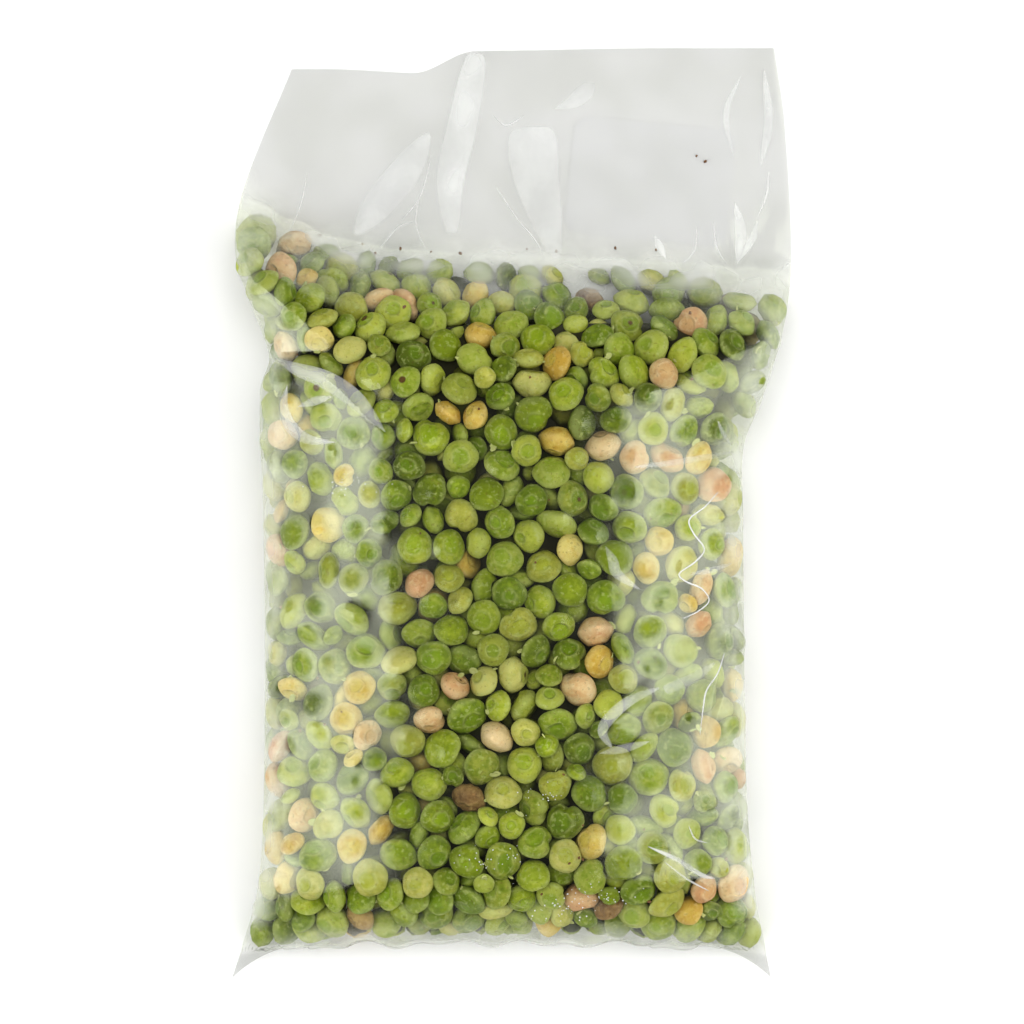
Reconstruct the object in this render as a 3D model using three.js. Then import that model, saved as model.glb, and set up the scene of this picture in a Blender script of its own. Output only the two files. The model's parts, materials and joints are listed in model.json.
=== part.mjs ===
// A clear plastic bag of frozen green peas, 150 x 250 mm flat, lying on its back.
//
// Frame: millimetres, +Z up. X runs across the bag and Y along it, with the empty top of
// the film at +Y and the welded bottom at -Y. The origin is under the middle of the bag, on
// the surface that it lies on.
//
// The bag is a flat tube of film, welded across both ends. Peas fill its lower three
// quarters and press the film into a pillow with a bump over each pea, and the rest of the
// film lies nearly flat. A blank label is stuck on the back of that empty film.

import * as THREE from "three";

// Driving sizes of the bag
const BAG_LENGTH = 252;
const TOP_STEP = 6; // the left part of the top edge lies this much lower
const BOTTOM_BOW = 10.8; // how far the weld is pulled in between the two bottom corners
const WALL = 0.8; // the two films lying on each other, drawn thick enough to hold

// Half widths of the film, as [height along the bag, distance from the middle]: 0 is the
// bottom corner and 1 the top one. The film is 150 mm wide where it is flat, and less
// where the peas take up its width.
const LEFT_SIDE = [
  [0, 75.6], [0.085, 69.2], [0.2, 67], [0.5, 67], [0.645, 68], [0.683, 65.6],
  [0.75, 71.3], [0.81, 74.6], [0.87, 72.6], [1, 59.7],
];
const RIGHT_SIDE = [
  [0, 70], [0.085, 65.9], [0.2, 63.4], [0.5, 62.4], [0.572, 62.6], [0.62, 67.4],
  [0.7, 73.4], [0.77, 75.6], [0.92, 73.8], [1, 71],
];

// Driving sizes of the filled pillow
const PILLOW_TOP = 25; // from the side fold up to the crown
const SIDE_FOLD_HEIGHT = 15; // where the films meet at the sides
const FLAT_BASE = 1.12; // over 1, so the underside is flat where it rests
const TOP_ROUNDNESS = 2.4;
const BASE_ROUNDNESS = 4;
const FILL_START = -113.8; // the lowest peas, on the middle of the bag
const FILL_LINE = 66; // where the peas end, on the middle of the bag
const FILL_SLOPE = 3;
const FILL_CORNER = 16; // the peas reach higher in the left corner
const BOTTOM_END = 24; // length over which the bottom end rounds off
const UPPER_END = 38; // length over which the peas thin out towards the empty film

// The empty film: it comes down from the peas as a tent and lies in long creases
const TENT_HEIGHT = 7;
const TENT_LENGTH = 20;
const FILM_LIFT = 0.65; // under the empty film, where the label is
const CREASES = [
  { foot: -19, head: -7, width: 5.5, height: 5.5 },
  { foot: -39, head: -22, width: 6, height: 3 },
  { foot: 9, head: 14, width: 6.5, height: 3.2 },
  { foot: 58, head: 50, width: 8, height: 3.4 },
];

// Peas
const PEA_RADIUS = 4.35;
const PEA_SPREAD = 0.95;
const PACKING = 0.68; // share of the pillow that the peas' round outlines take
const SETTLING_ROUNDS = 50;
const SEED = 4127;

// Film pressed on the peas
const FILM_PULL = 0.1; // how hard the film is drawn in between two peas
const DEEPEST_DIP = 4;
const FILM_ROUNDS = 60;

// Facets
const TOP_FACETS = 56;
const BASE_FACETS = 16;
const PILLOW_ROWS = 60;
const EMPTY_ROWS = 9;

// Label on the back of the empty film
const LABEL = { x: 37.5, y: 89.5, width: 44, height: 32, corner: 4.5, thick: 0.35, tilt: -0.1 };

const clamp = THREE.MathUtils.clamp;
const lerp = THREE.MathUtils.lerp;
const smooth = THREE.MathUtils.smoothstep;

// A smooth curve through [station, value] pairs, level with its neighbours at each of them.
function through(stations, t) {
  const last = stations.length - 1;
  let i = 0;
  while (i < last - 1 && t > stations[i + 1][0]) i++;
  const slope = (k) => {
    const a = stations[Math.max(k - 1, 0)];
    const b = stations[Math.min(k + 1, last)];
    return (b[1] - a[1]) / (b[0] - a[0]);
  };
  const [t0, v0] = stations[i];
  const [t1, v1] = stations[i + 1];
  const span = t1 - t0;
  const s = (t - t0) / span;
  const s2 = s * s;
  const s3 = s2 * s;
  return (
    v0 * (2 * s3 - 3 * s2 + 1) +
    v1 * (3 * s2 - 2 * s3) +
    span * (slope(i) * (s3 - 2 * s2 + s) + slope(i + 1) * (s3 - s2))
  );
}

// The outline of the film. u runs from -1 at the left fold to 1 at the right fold, and v
// from 0 at the bottom weld to 1 at the top one.
const bottomEdge = (u) => -BAG_LENGTH / 2 + BOTTOM_BOW * (1 - Math.abs(u) ** 7);
function topEdge(u) {
  const step = TOP_STEP * (1 - smooth(u, -0.5, -0.24));
  return BAG_LENGTH / 2 - step - 1.2 * smooth(u, -0.86, -0.4) + 0.9 * smooth(u, -0.4, 0.6);
}
const fillStart = (u) => FILL_START - 4.5 * Math.abs(u) ** 3;
const fillLine = (u) => FILL_LINE - FILL_SLOPE * u + FILL_CORNER * Math.max(0, -u) ** 4;
const upperEnd = (u) => UPPER_END * (1 - 0.45 * Math.abs(u) ** 3);

function onPlan(u, v) {
  const x = lerp(-through(LEFT_SIDE, v), through(RIGHT_SIDE, v), (u + 1) / 2);
  return [x, lerp(bottomEdge(u), topEdge(u), v)];
}

// The u and v of a point on the plan, found by closing in on it.
function fromPlan(x, y) {
  let u = clamp(x / 72, -1.2, 1.2);
  let v = 0.5;
  for (let i = 0; i < 3; i++) {
    v = clamp((y - bottomEdge(clamp(u, -1, 1))) / (topEdge(u) - bottomEdge(clamp(u, -1, 1))), 0, 1);
    const left = -through(LEFT_SIDE, v);
    const right = through(RIGHT_SIDE, v);
    u = (2 * (x - left)) / (right - left) - 1;
  }
  return [u, v];
}

// How full the bag is along its length: 0 where the peas end and 1 in the middle.
function fullness(u, y) {
  const fromBottom = clamp((y - fillStart(u)) / BOTTOM_END, 0, 1);
  const fromTop = clamp((fillLine(u) - y) / upperEnd(u), 0, 1);
  const bottom = (1 - (1 - fromBottom) ** 2.2) ** (1 / 2.2);
  return bottom * Math.sin((fromTop * Math.PI) / 2) ** 0.6;
}

const section = (u, roundness) => Math.max(0, 1 - Math.abs(u) ** roundness) ** (1 / roundness);

// Height at which the front and back films meet.
function foldHeight(u, y) {
  const body = 1 - smooth(y - fillLine(u), -upperEnd(u), 6);
  const fromBottom = y - bottomEdge(u);
  const ear = (1 - smooth(fromBottom, 2, 30)) * smooth(Math.abs(u), 0.6, 1);
  const end = 1 - 0.35 * (1 - smooth(fromBottom, 0, 18));
  return lerp(FILM_LIFT, SIDE_FOLD_HEIGHT * end * (1 - 0.72 * ear), body);
}

// Height of the creases in the front film, which run from the peas to the top edge.
function creaseHeight(x, y) {
  const rise = clamp((y - FILL_LINE) / (BAG_LENGTH / 2 - FILL_LINE), 0, 1);
  let height = 0;
  for (const crease of CREASES) {
    const across = (x - lerp(crease.foot, crease.head, rise)) / crease.width;
    const profile = Math.exp(-(Math.abs(across) ** 1.6));
    height += crease.height * profile * smooth(rise, 0, 0.25) * (1 - 0.45 * rise);
  }
  return height;
}

// Both films before the peas dent them: the heights of the front and the back at u, v.
function filmHeights(u, v) {
  const [x, y] = onPlan(u, v);
  const full = fullness(u, y);
  const fold = foldHeight(u, y);
  const beyond = y - fillLine(u);
  const edge = Math.sqrt(Math.max(0, 1 - u * u));
  const dome = PILLOW_TOP * section(u, TOP_ROUNDNESS) * full;
  const bowl = FLAT_BASE * section(u, BASE_ROUNDNESS) * full;
  const run = Math.max(0, beyond + 14) / TENT_LENGTH;
  const tent = TENT_HEIGHT * Math.exp(-(run ** 2)) * edge * smooth(beyond, -30, -8);
  const creased = creaseHeight(x, y) * Math.min(1, edge * 2.2) * smooth(beyond, 0, 14);
  const floor = lerp(0, FILM_LIFT, smooth(beyond, -10, 6));
  const back = Math.max(floor, fold * (1 - bowl));
  const wall = WALL * Math.min(1, edge * 3);
  return [Math.max(fold + dome, back + wall) + tent + creased, back];
}

// A solid shape for the peas: under 1 inside the pillow, 1 on the film.
function fillLevel(x, y, z) {
  const [u] = fromPlan(x, y);
  const across = clamp(u, -1, 1);
  const fold = foldHeight(across, y);
  const power = z > fold ? TOP_ROUNDNESS : BASE_ROUNDNESS;
  const reach = (z > fold ? PILLOW_TOP : FLAT_BASE * fold) * Math.max(0.06, fullness(across, y));
  const beyond = Math.max(0, y - fillLine(across), fillStart(across) - y);
  return (Math.abs(u) ** power + (Math.abs(z - fold) / reach) ** power) ** (1 / power) + beyond / 20;
}

function makeRandom(seed) {
  let state = seed;
  return () => {
    state = (state * 1664525 + 1013904223) % 4294967296;
    return state / 4294967296;
  };
}

// Drops peas of uneven size on a loose grid in the pillow, in a number that fills it.
function scatterPeas(random) {
  const peaVolume = (4 / 3) * Math.PI * PEA_RADIUS ** 3;
  const step = (peaVolume / PACKING) ** (1 / 3);
  const peas = [];
  for (let x = -78; x < 78; x += step)
    for (let y = -BAG_LENGTH / 2; y < 84; y += step)
      for (let z = step / 2; z < 42; z += step) {
        const at = [x, y, z].map((p) => p + (random() - 0.5) * step * 0.7);
        const size = PEA_RADIUS + PEA_SPREAD * (random() + random() - 1);
        if (fillLevel(...at) < 0.94) peas.push({ at, size });
      }
  return peas;
}

// Adds the push that one pea gets from another that overlaps it.
function pushApart(pea, other) {
  const [x, y, z] = [0, 1, 2].map((k) => pea.at[k] - other.at[k]);
  const apart = Math.hypot(x, y, z);
  const overlap = pea.size + other.size - apart;
  if (apart === 0 || overlap <= 0) return;
  const share = (0.4 * overlap) / apart;
  pea.push[0] += share * x;
  pea.push[1] += share * y;
  pea.push[2] += share * z;
}

// Settles the peas: those that overlap push each other apart, and the film holds them in.
function settlePeas(peas) {
  const cell = 2 * (PEA_RADIUS + PEA_SPREAD);
  for (let round = 0; round < SETTLING_ROUNDS; round++) {
    const cells = new Map();
    for (const pea of peas) {
      pea.cell = pea.at.map((c) => Math.floor(c / cell) + 20);
      pea.push = [0, 0, 0];
      const key = pea.cell[0] + 64 * pea.cell[1] + 4096 * pea.cell[2];
      if (!cells.has(key)) cells.set(key, []);
      cells.get(key).push(pea);
    }
    for (const pea of peas)
      for (let i = 0; i < 27; i++) {
        const column = pea.cell[0] + (i % 3) - 1;
        const row = pea.cell[1] + (Math.floor(i / 3) % 3) - 1;
        const layer = pea.cell[2] + Math.floor(i / 9) - 1;
        for (const other of cells.get(column + 64 * row + 4096 * layer) ?? []) pushApart(pea, other);
      }
    for (const pea of peas) {
      pea.at = pea.at.map((c, k) => c + pea.push[k]);
      holdIn(pea);
    }
  }
  return peas;
}

// Moves a pea back inside the film and onto the surface that the bag lies on.
function holdIn(pea) {
  const [x, y, z] = pea.at;
  const level = fillLevel(x, y, z);
  if (level > 0.55) {
    const h = 0.05;
    const slope = [
      (fillLevel(x + h, y, z) - level) / h,
      (fillLevel(x, y + h, z) - level) / h,
      (fillLevel(x, y, z + h) - level) / h,
    ];
    const steep = Math.max(Math.hypot(...slope), 1e-4);
    const room = (1 - level) / steep;
    if (room < pea.size) pea.at = pea.at.map((c, k) => c - ((pea.size - room) * slope[k]) / steep);
  }
  pea.at[2] = Math.max(pea.at[2], pea.size);
}

// The columns and rows of the film's facets. A column is [u, on the front or not], and
// runs round the bag: over the front from left to right, and back under it.
function filmColumns() {
  const columns = [];
  const end = (Math.PI / 2) * 0.97;
  for (let i = 0; i < TOP_FACETS; i++) {
    const turn = end * ((2 * i) / TOP_FACETS - 1);
    columns.push([Math.sin(turn) / Math.sin(end), true]);
  }
  for (let i = 0; i < BASE_FACETS; i++) columns.push([Math.cos((Math.PI * i) / BASE_FACETS), false]);
  return columns;
}

function filmRows() {
  const fillEnd = (FILL_LINE + 12 + BAG_LENGTH / 2) / BAG_LENGTH;
  const rows = [];
  for (let j = 0; j < PILLOW_ROWS; j++) rows.push(fillEnd * (j / PILLOW_ROWS) ** 1.08);
  for (let j = 0; j <= EMPTY_ROWS; j++) rows.push(lerp(fillEnd, 1, j / EMPTY_ROWS));
  return rows;
}

// The film's points, each with its outward direction.
function smoothFilm(columns, rows) {
  const points = rows.map((v) =>
    columns.map(([u, front]) => {
      const [x, y] = onPlan(u, v);
      return new THREE.Vector3(x, y, filmHeights(u, v)[front ? 0 : 1]);
    }),
  );
  const around = columns.length;
  const directions = rows.map((_, j) =>
    columns.map((_, i) => {
      const across = points[j][(i + 1) % around].clone().sub(points[j][(i + around - 1) % around]);
      const along = points[Math.min(j + 1, rows.length - 1)][i].clone().sub(points[Math.max(j - 1, 0)][i]);
      return across.cross(along).normalize();
    }),
  );
  return { points, directions };
}

// How far the film can go inwards at a point before it meets a pea.
function roomOverPeas(point, direction, peas) {
  let room = DEEPEST_DIP;
  for (const { at, size } of peas) {
    const dx = point.x - at[0];
    const dy = point.y - at[1];
    const dz = point.z - at[2];
    if (dx * dx + dy * dy + dz * dz > (size + DEEPEST_DIP) ** 2) continue;
    const depth = dx * direction.x + dy * direction.y + dz * direction.z;
    const aside = dx * dx + dy * dy + dz * dz - depth * depth;
    if (depth > 0 && aside < size * size) room = Math.min(room, depth - Math.sqrt(size * size - aside));
  }
  return room;
}

// The film drawn in over the peas: each point sinks to the mean of its neighbours and a
// little more, until it rests on a pea. It stays where it lies on the surface below.
function pressFilm({ points, directions }, columns, rows, peas) {
  const around = columns.length;
  const room = points.map((row, j) =>
    row.map((point, i) => {
      const [u] = columns[i];
      const slack = 14 * (section(u, TOP_ROUNDNESS) * fullness(u, point.y)) ** 1.5;
      if (point.z < 0.3 || slack < 0.1 || j === 0) return 0;
      return Math.min(slack, roomOverPeas(point, directions[j][i], peas));
    }),
  );
  let dip = points.map((row) => row.map(() => 0));
  for (let round = 0; round < FILM_ROUNDS; round++)
    dip = dip.map((row, j) =>
      row.map((_, i) => {
        if (room[j][i] === 0) return 0;
        const beside = row[(i + 1) % around] + row[(i + around - 1) % around];
        const mean = (beside + dip[j - 1][i] + dip[j + 1][i]) / 4;
        return Math.min(room[j][i], mean + FILM_PULL);
      }),
    );
  points.forEach((row, j) =>
    row.forEach((point, i) => point.addScaledVector(directions[j][i], -dip[j][i])),
  );
}

// One closed surface from rows of points that go round the bag, with both ends capped.
function closedGeometry(points) {
  const around = points[0].length;
  const index = [];
  const all = points.flat();
  for (let j = 0; j < points.length - 1; j++)
    for (let i = 0; i < around; i++) {
      const a = j * around + i;
      const b = j * around + ((i + 1) % around);
      const c = b + around;
      const d = a + around;
      if (all[a].distanceToSquared(all[c]) < all[b].distanceToSquared(all[d])) index.push(a, b, c, a, c, d);
      else index.push(a, b, d, b, c, d);
    }
  for (const [row, flip] of [[0, true], [points.length - 1, false]]) {
    const loop = points[row].map((p) => new THREE.Vector2(p.x, p.z));
    for (const face of THREE.ShapeUtils.triangulateShape(loop, [])) {
      const corners = face.map((i) => row * around + i);
      index.push(...(flip ? corners : corners.reverse()));
    }
  }
  const geometry = new THREE.BufferGeometry().setFromPoints(all);
  geometry.setIndex(index);
  return geometry;
}

function makeBag() {
  const columns = filmColumns();
  const rows = filmRows();
  const film = smoothFilm(columns, rows);
  const peas = settlePeas(scatterPeas(makeRandom(SEED)));
  pressFilm(film, columns, rows, peas);
  const material = new THREE.MeshStandardMaterial({ color: 0x93a64a, roughness: 0.35, metalness: 0 });
  const mesh = new THREE.Mesh(closedGeometry(film.points), material);
  mesh.name = "pea_bag";
  return mesh;
}

// The blank label, a thin rounded sheet on the back of the empty film.
function makeLabel() {
  const { width, height, corner, thick } = LABEL;
  const shape = new THREE.Shape();
  shape.moveTo(-width / 2 + corner, -height / 2);
  shape.lineTo(width / 2 - corner, -height / 2);
  shape.absarc(width / 2 - corner, -height / 2 + corner, corner, -Math.PI / 2, 0);
  shape.lineTo(width / 2, height / 2 - corner);
  shape.absarc(width / 2 - corner, height / 2 - corner, corner, 0, Math.PI / 2);
  shape.lineTo(-width / 2 + corner, height / 2);
  shape.absarc(-width / 2 + corner, height / 2 - corner, corner, Math.PI / 2, Math.PI);
  shape.lineTo(-width / 2, -height / 2 + corner);
  shape.absarc(-width / 2 + corner, -height / 2 + corner, corner, Math.PI, Math.PI * 1.5);
  const settings = { depth: thick, bevelEnabled: false, curveSegments: 8 };
  const geometry = new THREE.ExtrudeGeometry(shape, settings);
  const material = new THREE.MeshStandardMaterial({ color: 0xf1f1f4, roughness: 0.6, metalness: 0 });
  const mesh = new THREE.Mesh(geometry, material);
  mesh.name = "label";
  mesh.position.set(LABEL.x, LABEL.y, 0);
  mesh.rotation.z = LABEL.tilt;
  return mesh;
}

const bag = new THREE.Group();
bag.add(makeBag(), makeLabel());

export default bag;
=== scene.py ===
"""A clear plastic bag of frozen green peas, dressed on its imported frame.

The film, the peas under it and what lies loose between them are built here, and the blank
label is a piece of the frame. Lengths in the classes are millimetres in the part's frame, as
in its source, and a mesh is scaled to metres when it is made.
"""

import json
import logging
import math
from dataclasses import dataclass, field, replace
from enum import Enum

import bpy
import numpy as np
from mathutils import Matrix, Vector, noise
from mathutils.bvhtree import BVHTree
from mathutils.kdtree import KDTree

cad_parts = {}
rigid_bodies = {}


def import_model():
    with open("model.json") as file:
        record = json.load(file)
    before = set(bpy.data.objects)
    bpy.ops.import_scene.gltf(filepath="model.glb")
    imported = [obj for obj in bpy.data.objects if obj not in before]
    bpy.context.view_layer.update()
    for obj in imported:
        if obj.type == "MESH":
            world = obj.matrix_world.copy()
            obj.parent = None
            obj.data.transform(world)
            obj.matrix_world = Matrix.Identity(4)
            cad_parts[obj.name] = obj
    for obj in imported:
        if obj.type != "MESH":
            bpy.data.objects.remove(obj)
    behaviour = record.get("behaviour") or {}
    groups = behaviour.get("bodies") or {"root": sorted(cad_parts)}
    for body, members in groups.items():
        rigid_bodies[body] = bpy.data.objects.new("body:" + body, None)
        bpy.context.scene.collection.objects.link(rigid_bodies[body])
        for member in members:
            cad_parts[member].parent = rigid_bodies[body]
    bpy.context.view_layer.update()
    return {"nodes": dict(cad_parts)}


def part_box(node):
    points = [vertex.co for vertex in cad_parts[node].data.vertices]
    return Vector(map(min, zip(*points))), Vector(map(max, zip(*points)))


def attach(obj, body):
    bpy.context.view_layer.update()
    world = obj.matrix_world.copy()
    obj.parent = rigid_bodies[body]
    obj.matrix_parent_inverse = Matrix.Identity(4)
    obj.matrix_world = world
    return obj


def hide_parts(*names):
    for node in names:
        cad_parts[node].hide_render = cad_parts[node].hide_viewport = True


logger = logging.getLogger("pea_bag")

MM = 0.001
Stations = tuple[tuple[float, float], ...]


# Small helpers for numbers, meshes and nodes


def smooth_step(value: np.ndarray, low: float | np.ndarray, high: float) -> np.ndarray:
    """Rises smoothly from 0 at low to 1 at high.

    Args:
        value: The numbers to grade.
        low: Where the rise starts.
        high: Where it ends.

    Returns:
        The graded numbers, from 0 to 1.
    """
    t = np.clip((value - low) / (high - low), 0, 1)
    return t * t * (3 - 2 * t)


def through(stations: Stations, place: np.ndarray) -> np.ndarray:
    """Reads a smooth curve that passes through a few stations.

    Args:
        stations: Pairs of a place and the curve's value there, in order.
        place: Where to read the curve.

    Returns:
        The curve's values.
    """
    at = np.array([s[0] for s in stations])
    value = np.array([s[1] for s in stations])
    low = np.maximum(np.arange(len(at)) - 1, 0)
    high = np.minimum(np.arange(len(at)) + 1, len(at) - 1)
    slope = (value[high] - value[low]) / (at[high] - at[low])
    i = np.clip(np.searchsorted(at, place) - 1, 0, len(at) - 2)
    span = at[i + 1] - at[i]
    s = (place - at[i]) / span
    return (
        value[i] * (2 * s**3 - 3 * s**2 + 1)
        + value[i + 1] * (3 * s**2 - 2 * s**3)
        + span * (slope[i] * (s**3 - 2 * s**2 + s) + slope[i + 1] * (s**3 - s**2))
    )


def unit(vectors: np.ndarray) -> np.ndarray:
    """Scales each row vector to length 1."""
    return vectors / np.maximum(np.linalg.norm(vectors, axis=-1, keepdims=True), 1e-9)


def linear(red: int, green: int, blue: int) -> tuple[float, float, float, float]:
    """Turns a colour as a screen shows it, 0 to 255, into the linear one that a shader takes."""

    def channel(value: int) -> float:
        """Converts one channel."""
        part = value / 255
        return part / 12.92 if part <= 0.04045 else ((part + 0.055) / 1.055) ** 2.4

    return (channel(red), channel(green), channel(blue), 1.0)


def mesh_object(name: str, points: np.ndarray, faces: list[tuple[int, ...]]) -> bpy.types.Object:
    """Makes a smooth shaded mesh object from millimetre points.

    Args:
        name: The object's name.
        points: Its vertices, in millimetres.
        faces: Vertex numbers of each face, counter-clockwise seen from outside.

    Returns:
        The new object, linked to the scene.
    """
    mesh = bpy.data.meshes.new(name)
    mesh.from_pydata((np.asarray(points) * MM).tolist(), [], faces)
    mesh.shade_smooth()
    mesh.update()
    made = bpy.data.objects.new(name, mesh)
    bpy.context.scene.collection.objects.link(made)
    return made


def band_faces(index: np.ndarray, flip: bool = False) -> list[tuple[int, ...]]:
    """Joins rows of vertices that run round a body, each row to the next.

    Args:
        index: The vertices' numbers, one row for each ring.
        flip: Whether the rings run the other way round.

    Returns:
        The faces, four vertices each.
    """
    ahead = np.roll(index, -1, axis=1)
    first, second = (ahead, index) if flip else (index, ahead)
    quads = np.stack((first[:-1], second[:-1], second[1:], first[1:]), axis=2).reshape(-1, 4)
    return [tuple(quad) for quad in quads.tolist()]


def store(made: bpy.types.Object, name: str, values: np.ndarray) -> None:
    """Stores a number or a vector for each vertex of an object, as a named attribute."""
    kind = "FLOAT" if values.ndim == 1 else "FLOAT_VECTOR"
    key = "value" if values.ndim == 1 else "vector"
    attribute = made.data.attributes.new(name, kind, "POINT")
    attribute.data.foreach_set(key, np.ascontiguousarray(values, dtype=np.float32).ravel())


def vertices_of(made: bpy.types.Object) -> np.ndarray:
    """Reads an object's vertices back, in millimetres."""
    flat = np.empty(len(made.data.vertices) * 3, dtype=np.float32)
    made.data.vertices.foreach_get("co", flat)
    return flat.reshape(-1, 3).astype(float) / MM


class Wiring:
    """A node tree with short calls to add nodes and join them."""

    def __init__(self, tree: bpy.types.NodeTree) -> None:
        """Starts from an empty tree."""
        self.tree = tree
        tree.nodes.clear()

    def node(self, kind: str, settings: dict | None = None, **sockets: object) -> bpy.types.Node:
        """Adds a node.

        Args:
            kind: The node's type name.
            settings: The node's own properties.
            **sockets: A value or an output for each input, named by its label with _ for a space.

        Returns:
            The new node.
        """
        made = self.tree.nodes.new(kind)
        for key, value in (settings or {}).items():
            setattr(made, key, value)
        for label, value in sockets.items():
            self.feed(self.socket(made, label), value)
        return made

    def socket(self, made: bpy.types.Node, label: str) -> bpy.types.NodeSocket:
        """Finds an enabled input by its label, or by its place where the label is in_0, in_1."""
        if label.startswith("in_"):
            return made.inputs[int(label[3:])]
        wanted = label.replace("_", " ")
        return next(s for s in made.inputs if s.name == wanted and s.enabled)

    def feed(self, socket: bpy.types.NodeSocket, value: object) -> None:
        """Sets a socket, or links it if the value is another node's output."""
        if isinstance(value, bpy.types.NodeSocket):
            self.tree.links.new(value, socket)
        else:
            socket.default_value = value

    def maths(self, operation: str, *values: object, clamp: bool = False) -> bpy.types.NodeSocket:
        """Adds a Math node and returns its output."""
        kind = "ShaderNodeMath"
        sockets = {f"in_{i}": value for i, value in enumerate(values)}
        return self.node(kind, {"operation": operation, "use_clamp": clamp}, **sockets).outputs[0]

    def blend(self, share: object, first: object, second: object, how: str = "MIX") -> bpy.types.NodeSocket:
        """Mixes two colours and returns the result."""
        made = self.node("ShaderNodeMix", {"data_type": "RGBA", "blend_type": how})
        for i, value in ((0, share), (6, first), (7, second)):
            self.feed(made.inputs[i], value)
        return made.outputs[2]

    def attribute(self, name: str, output: str = "Fac") -> bpy.types.NodeSocket:
        """Reads a named attribute of the surface."""
        return self.node("ShaderNodeAttribute", {"attribute_name": name}).outputs[output]

    def ramp(self, share: object, stops: list[tuple[float, tuple]]) -> bpy.types.NodeSocket:
        """Adds a Color Ramp with the given stops and returns its colour."""
        made = self.node("ShaderNodeValToRGB", Fac=share)
        elements = made.color_ramp.elements
        while len(elements) < len(stops):
            elements.new(1.0)
        for element, (place, colour) in zip(elements, stops):
            element.position = place
            element.color = colour
        return made.outputs["Color"]

    def step(self, value: object, low: float, high: float) -> bpy.types.NodeSocket:
        """Rises smoothly from 0 at low to 1 at high, or falls if low is the greater."""
        made = self.node("ShaderNodeMapRange", {"interpolation_type": "SMOOTHSTEP"}, Value=value)
        made.inputs["From Min"].default_value = min(low, high)
        made.inputs["From Max"].default_value = max(low, high)
        made.inputs["To Min"].default_value = 0.0 if low < high else 1.0
        made.inputs["To Max"].default_value = 1.0 if low < high else 0.0
        return made.outputs[0]

    def noise(self, where: object, size: float, detail: float = 2.0) -> bpy.types.NodeSocket:
        """Adds a Noise Texture whose features are about this many millimetres across."""
        made = self.node("ShaderNodeTexNoise", Vector=where, Scale=1 / (size * MM), Detail=detail)
        return made.outputs["Fac"]

    def place(self) -> bpy.types.NodeSocket:
        """The surface's own position on its object."""
        return self.node("ShaderNodeTexCoord").outputs["Object"]


# The form of the filled bag, as in the part's source


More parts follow.
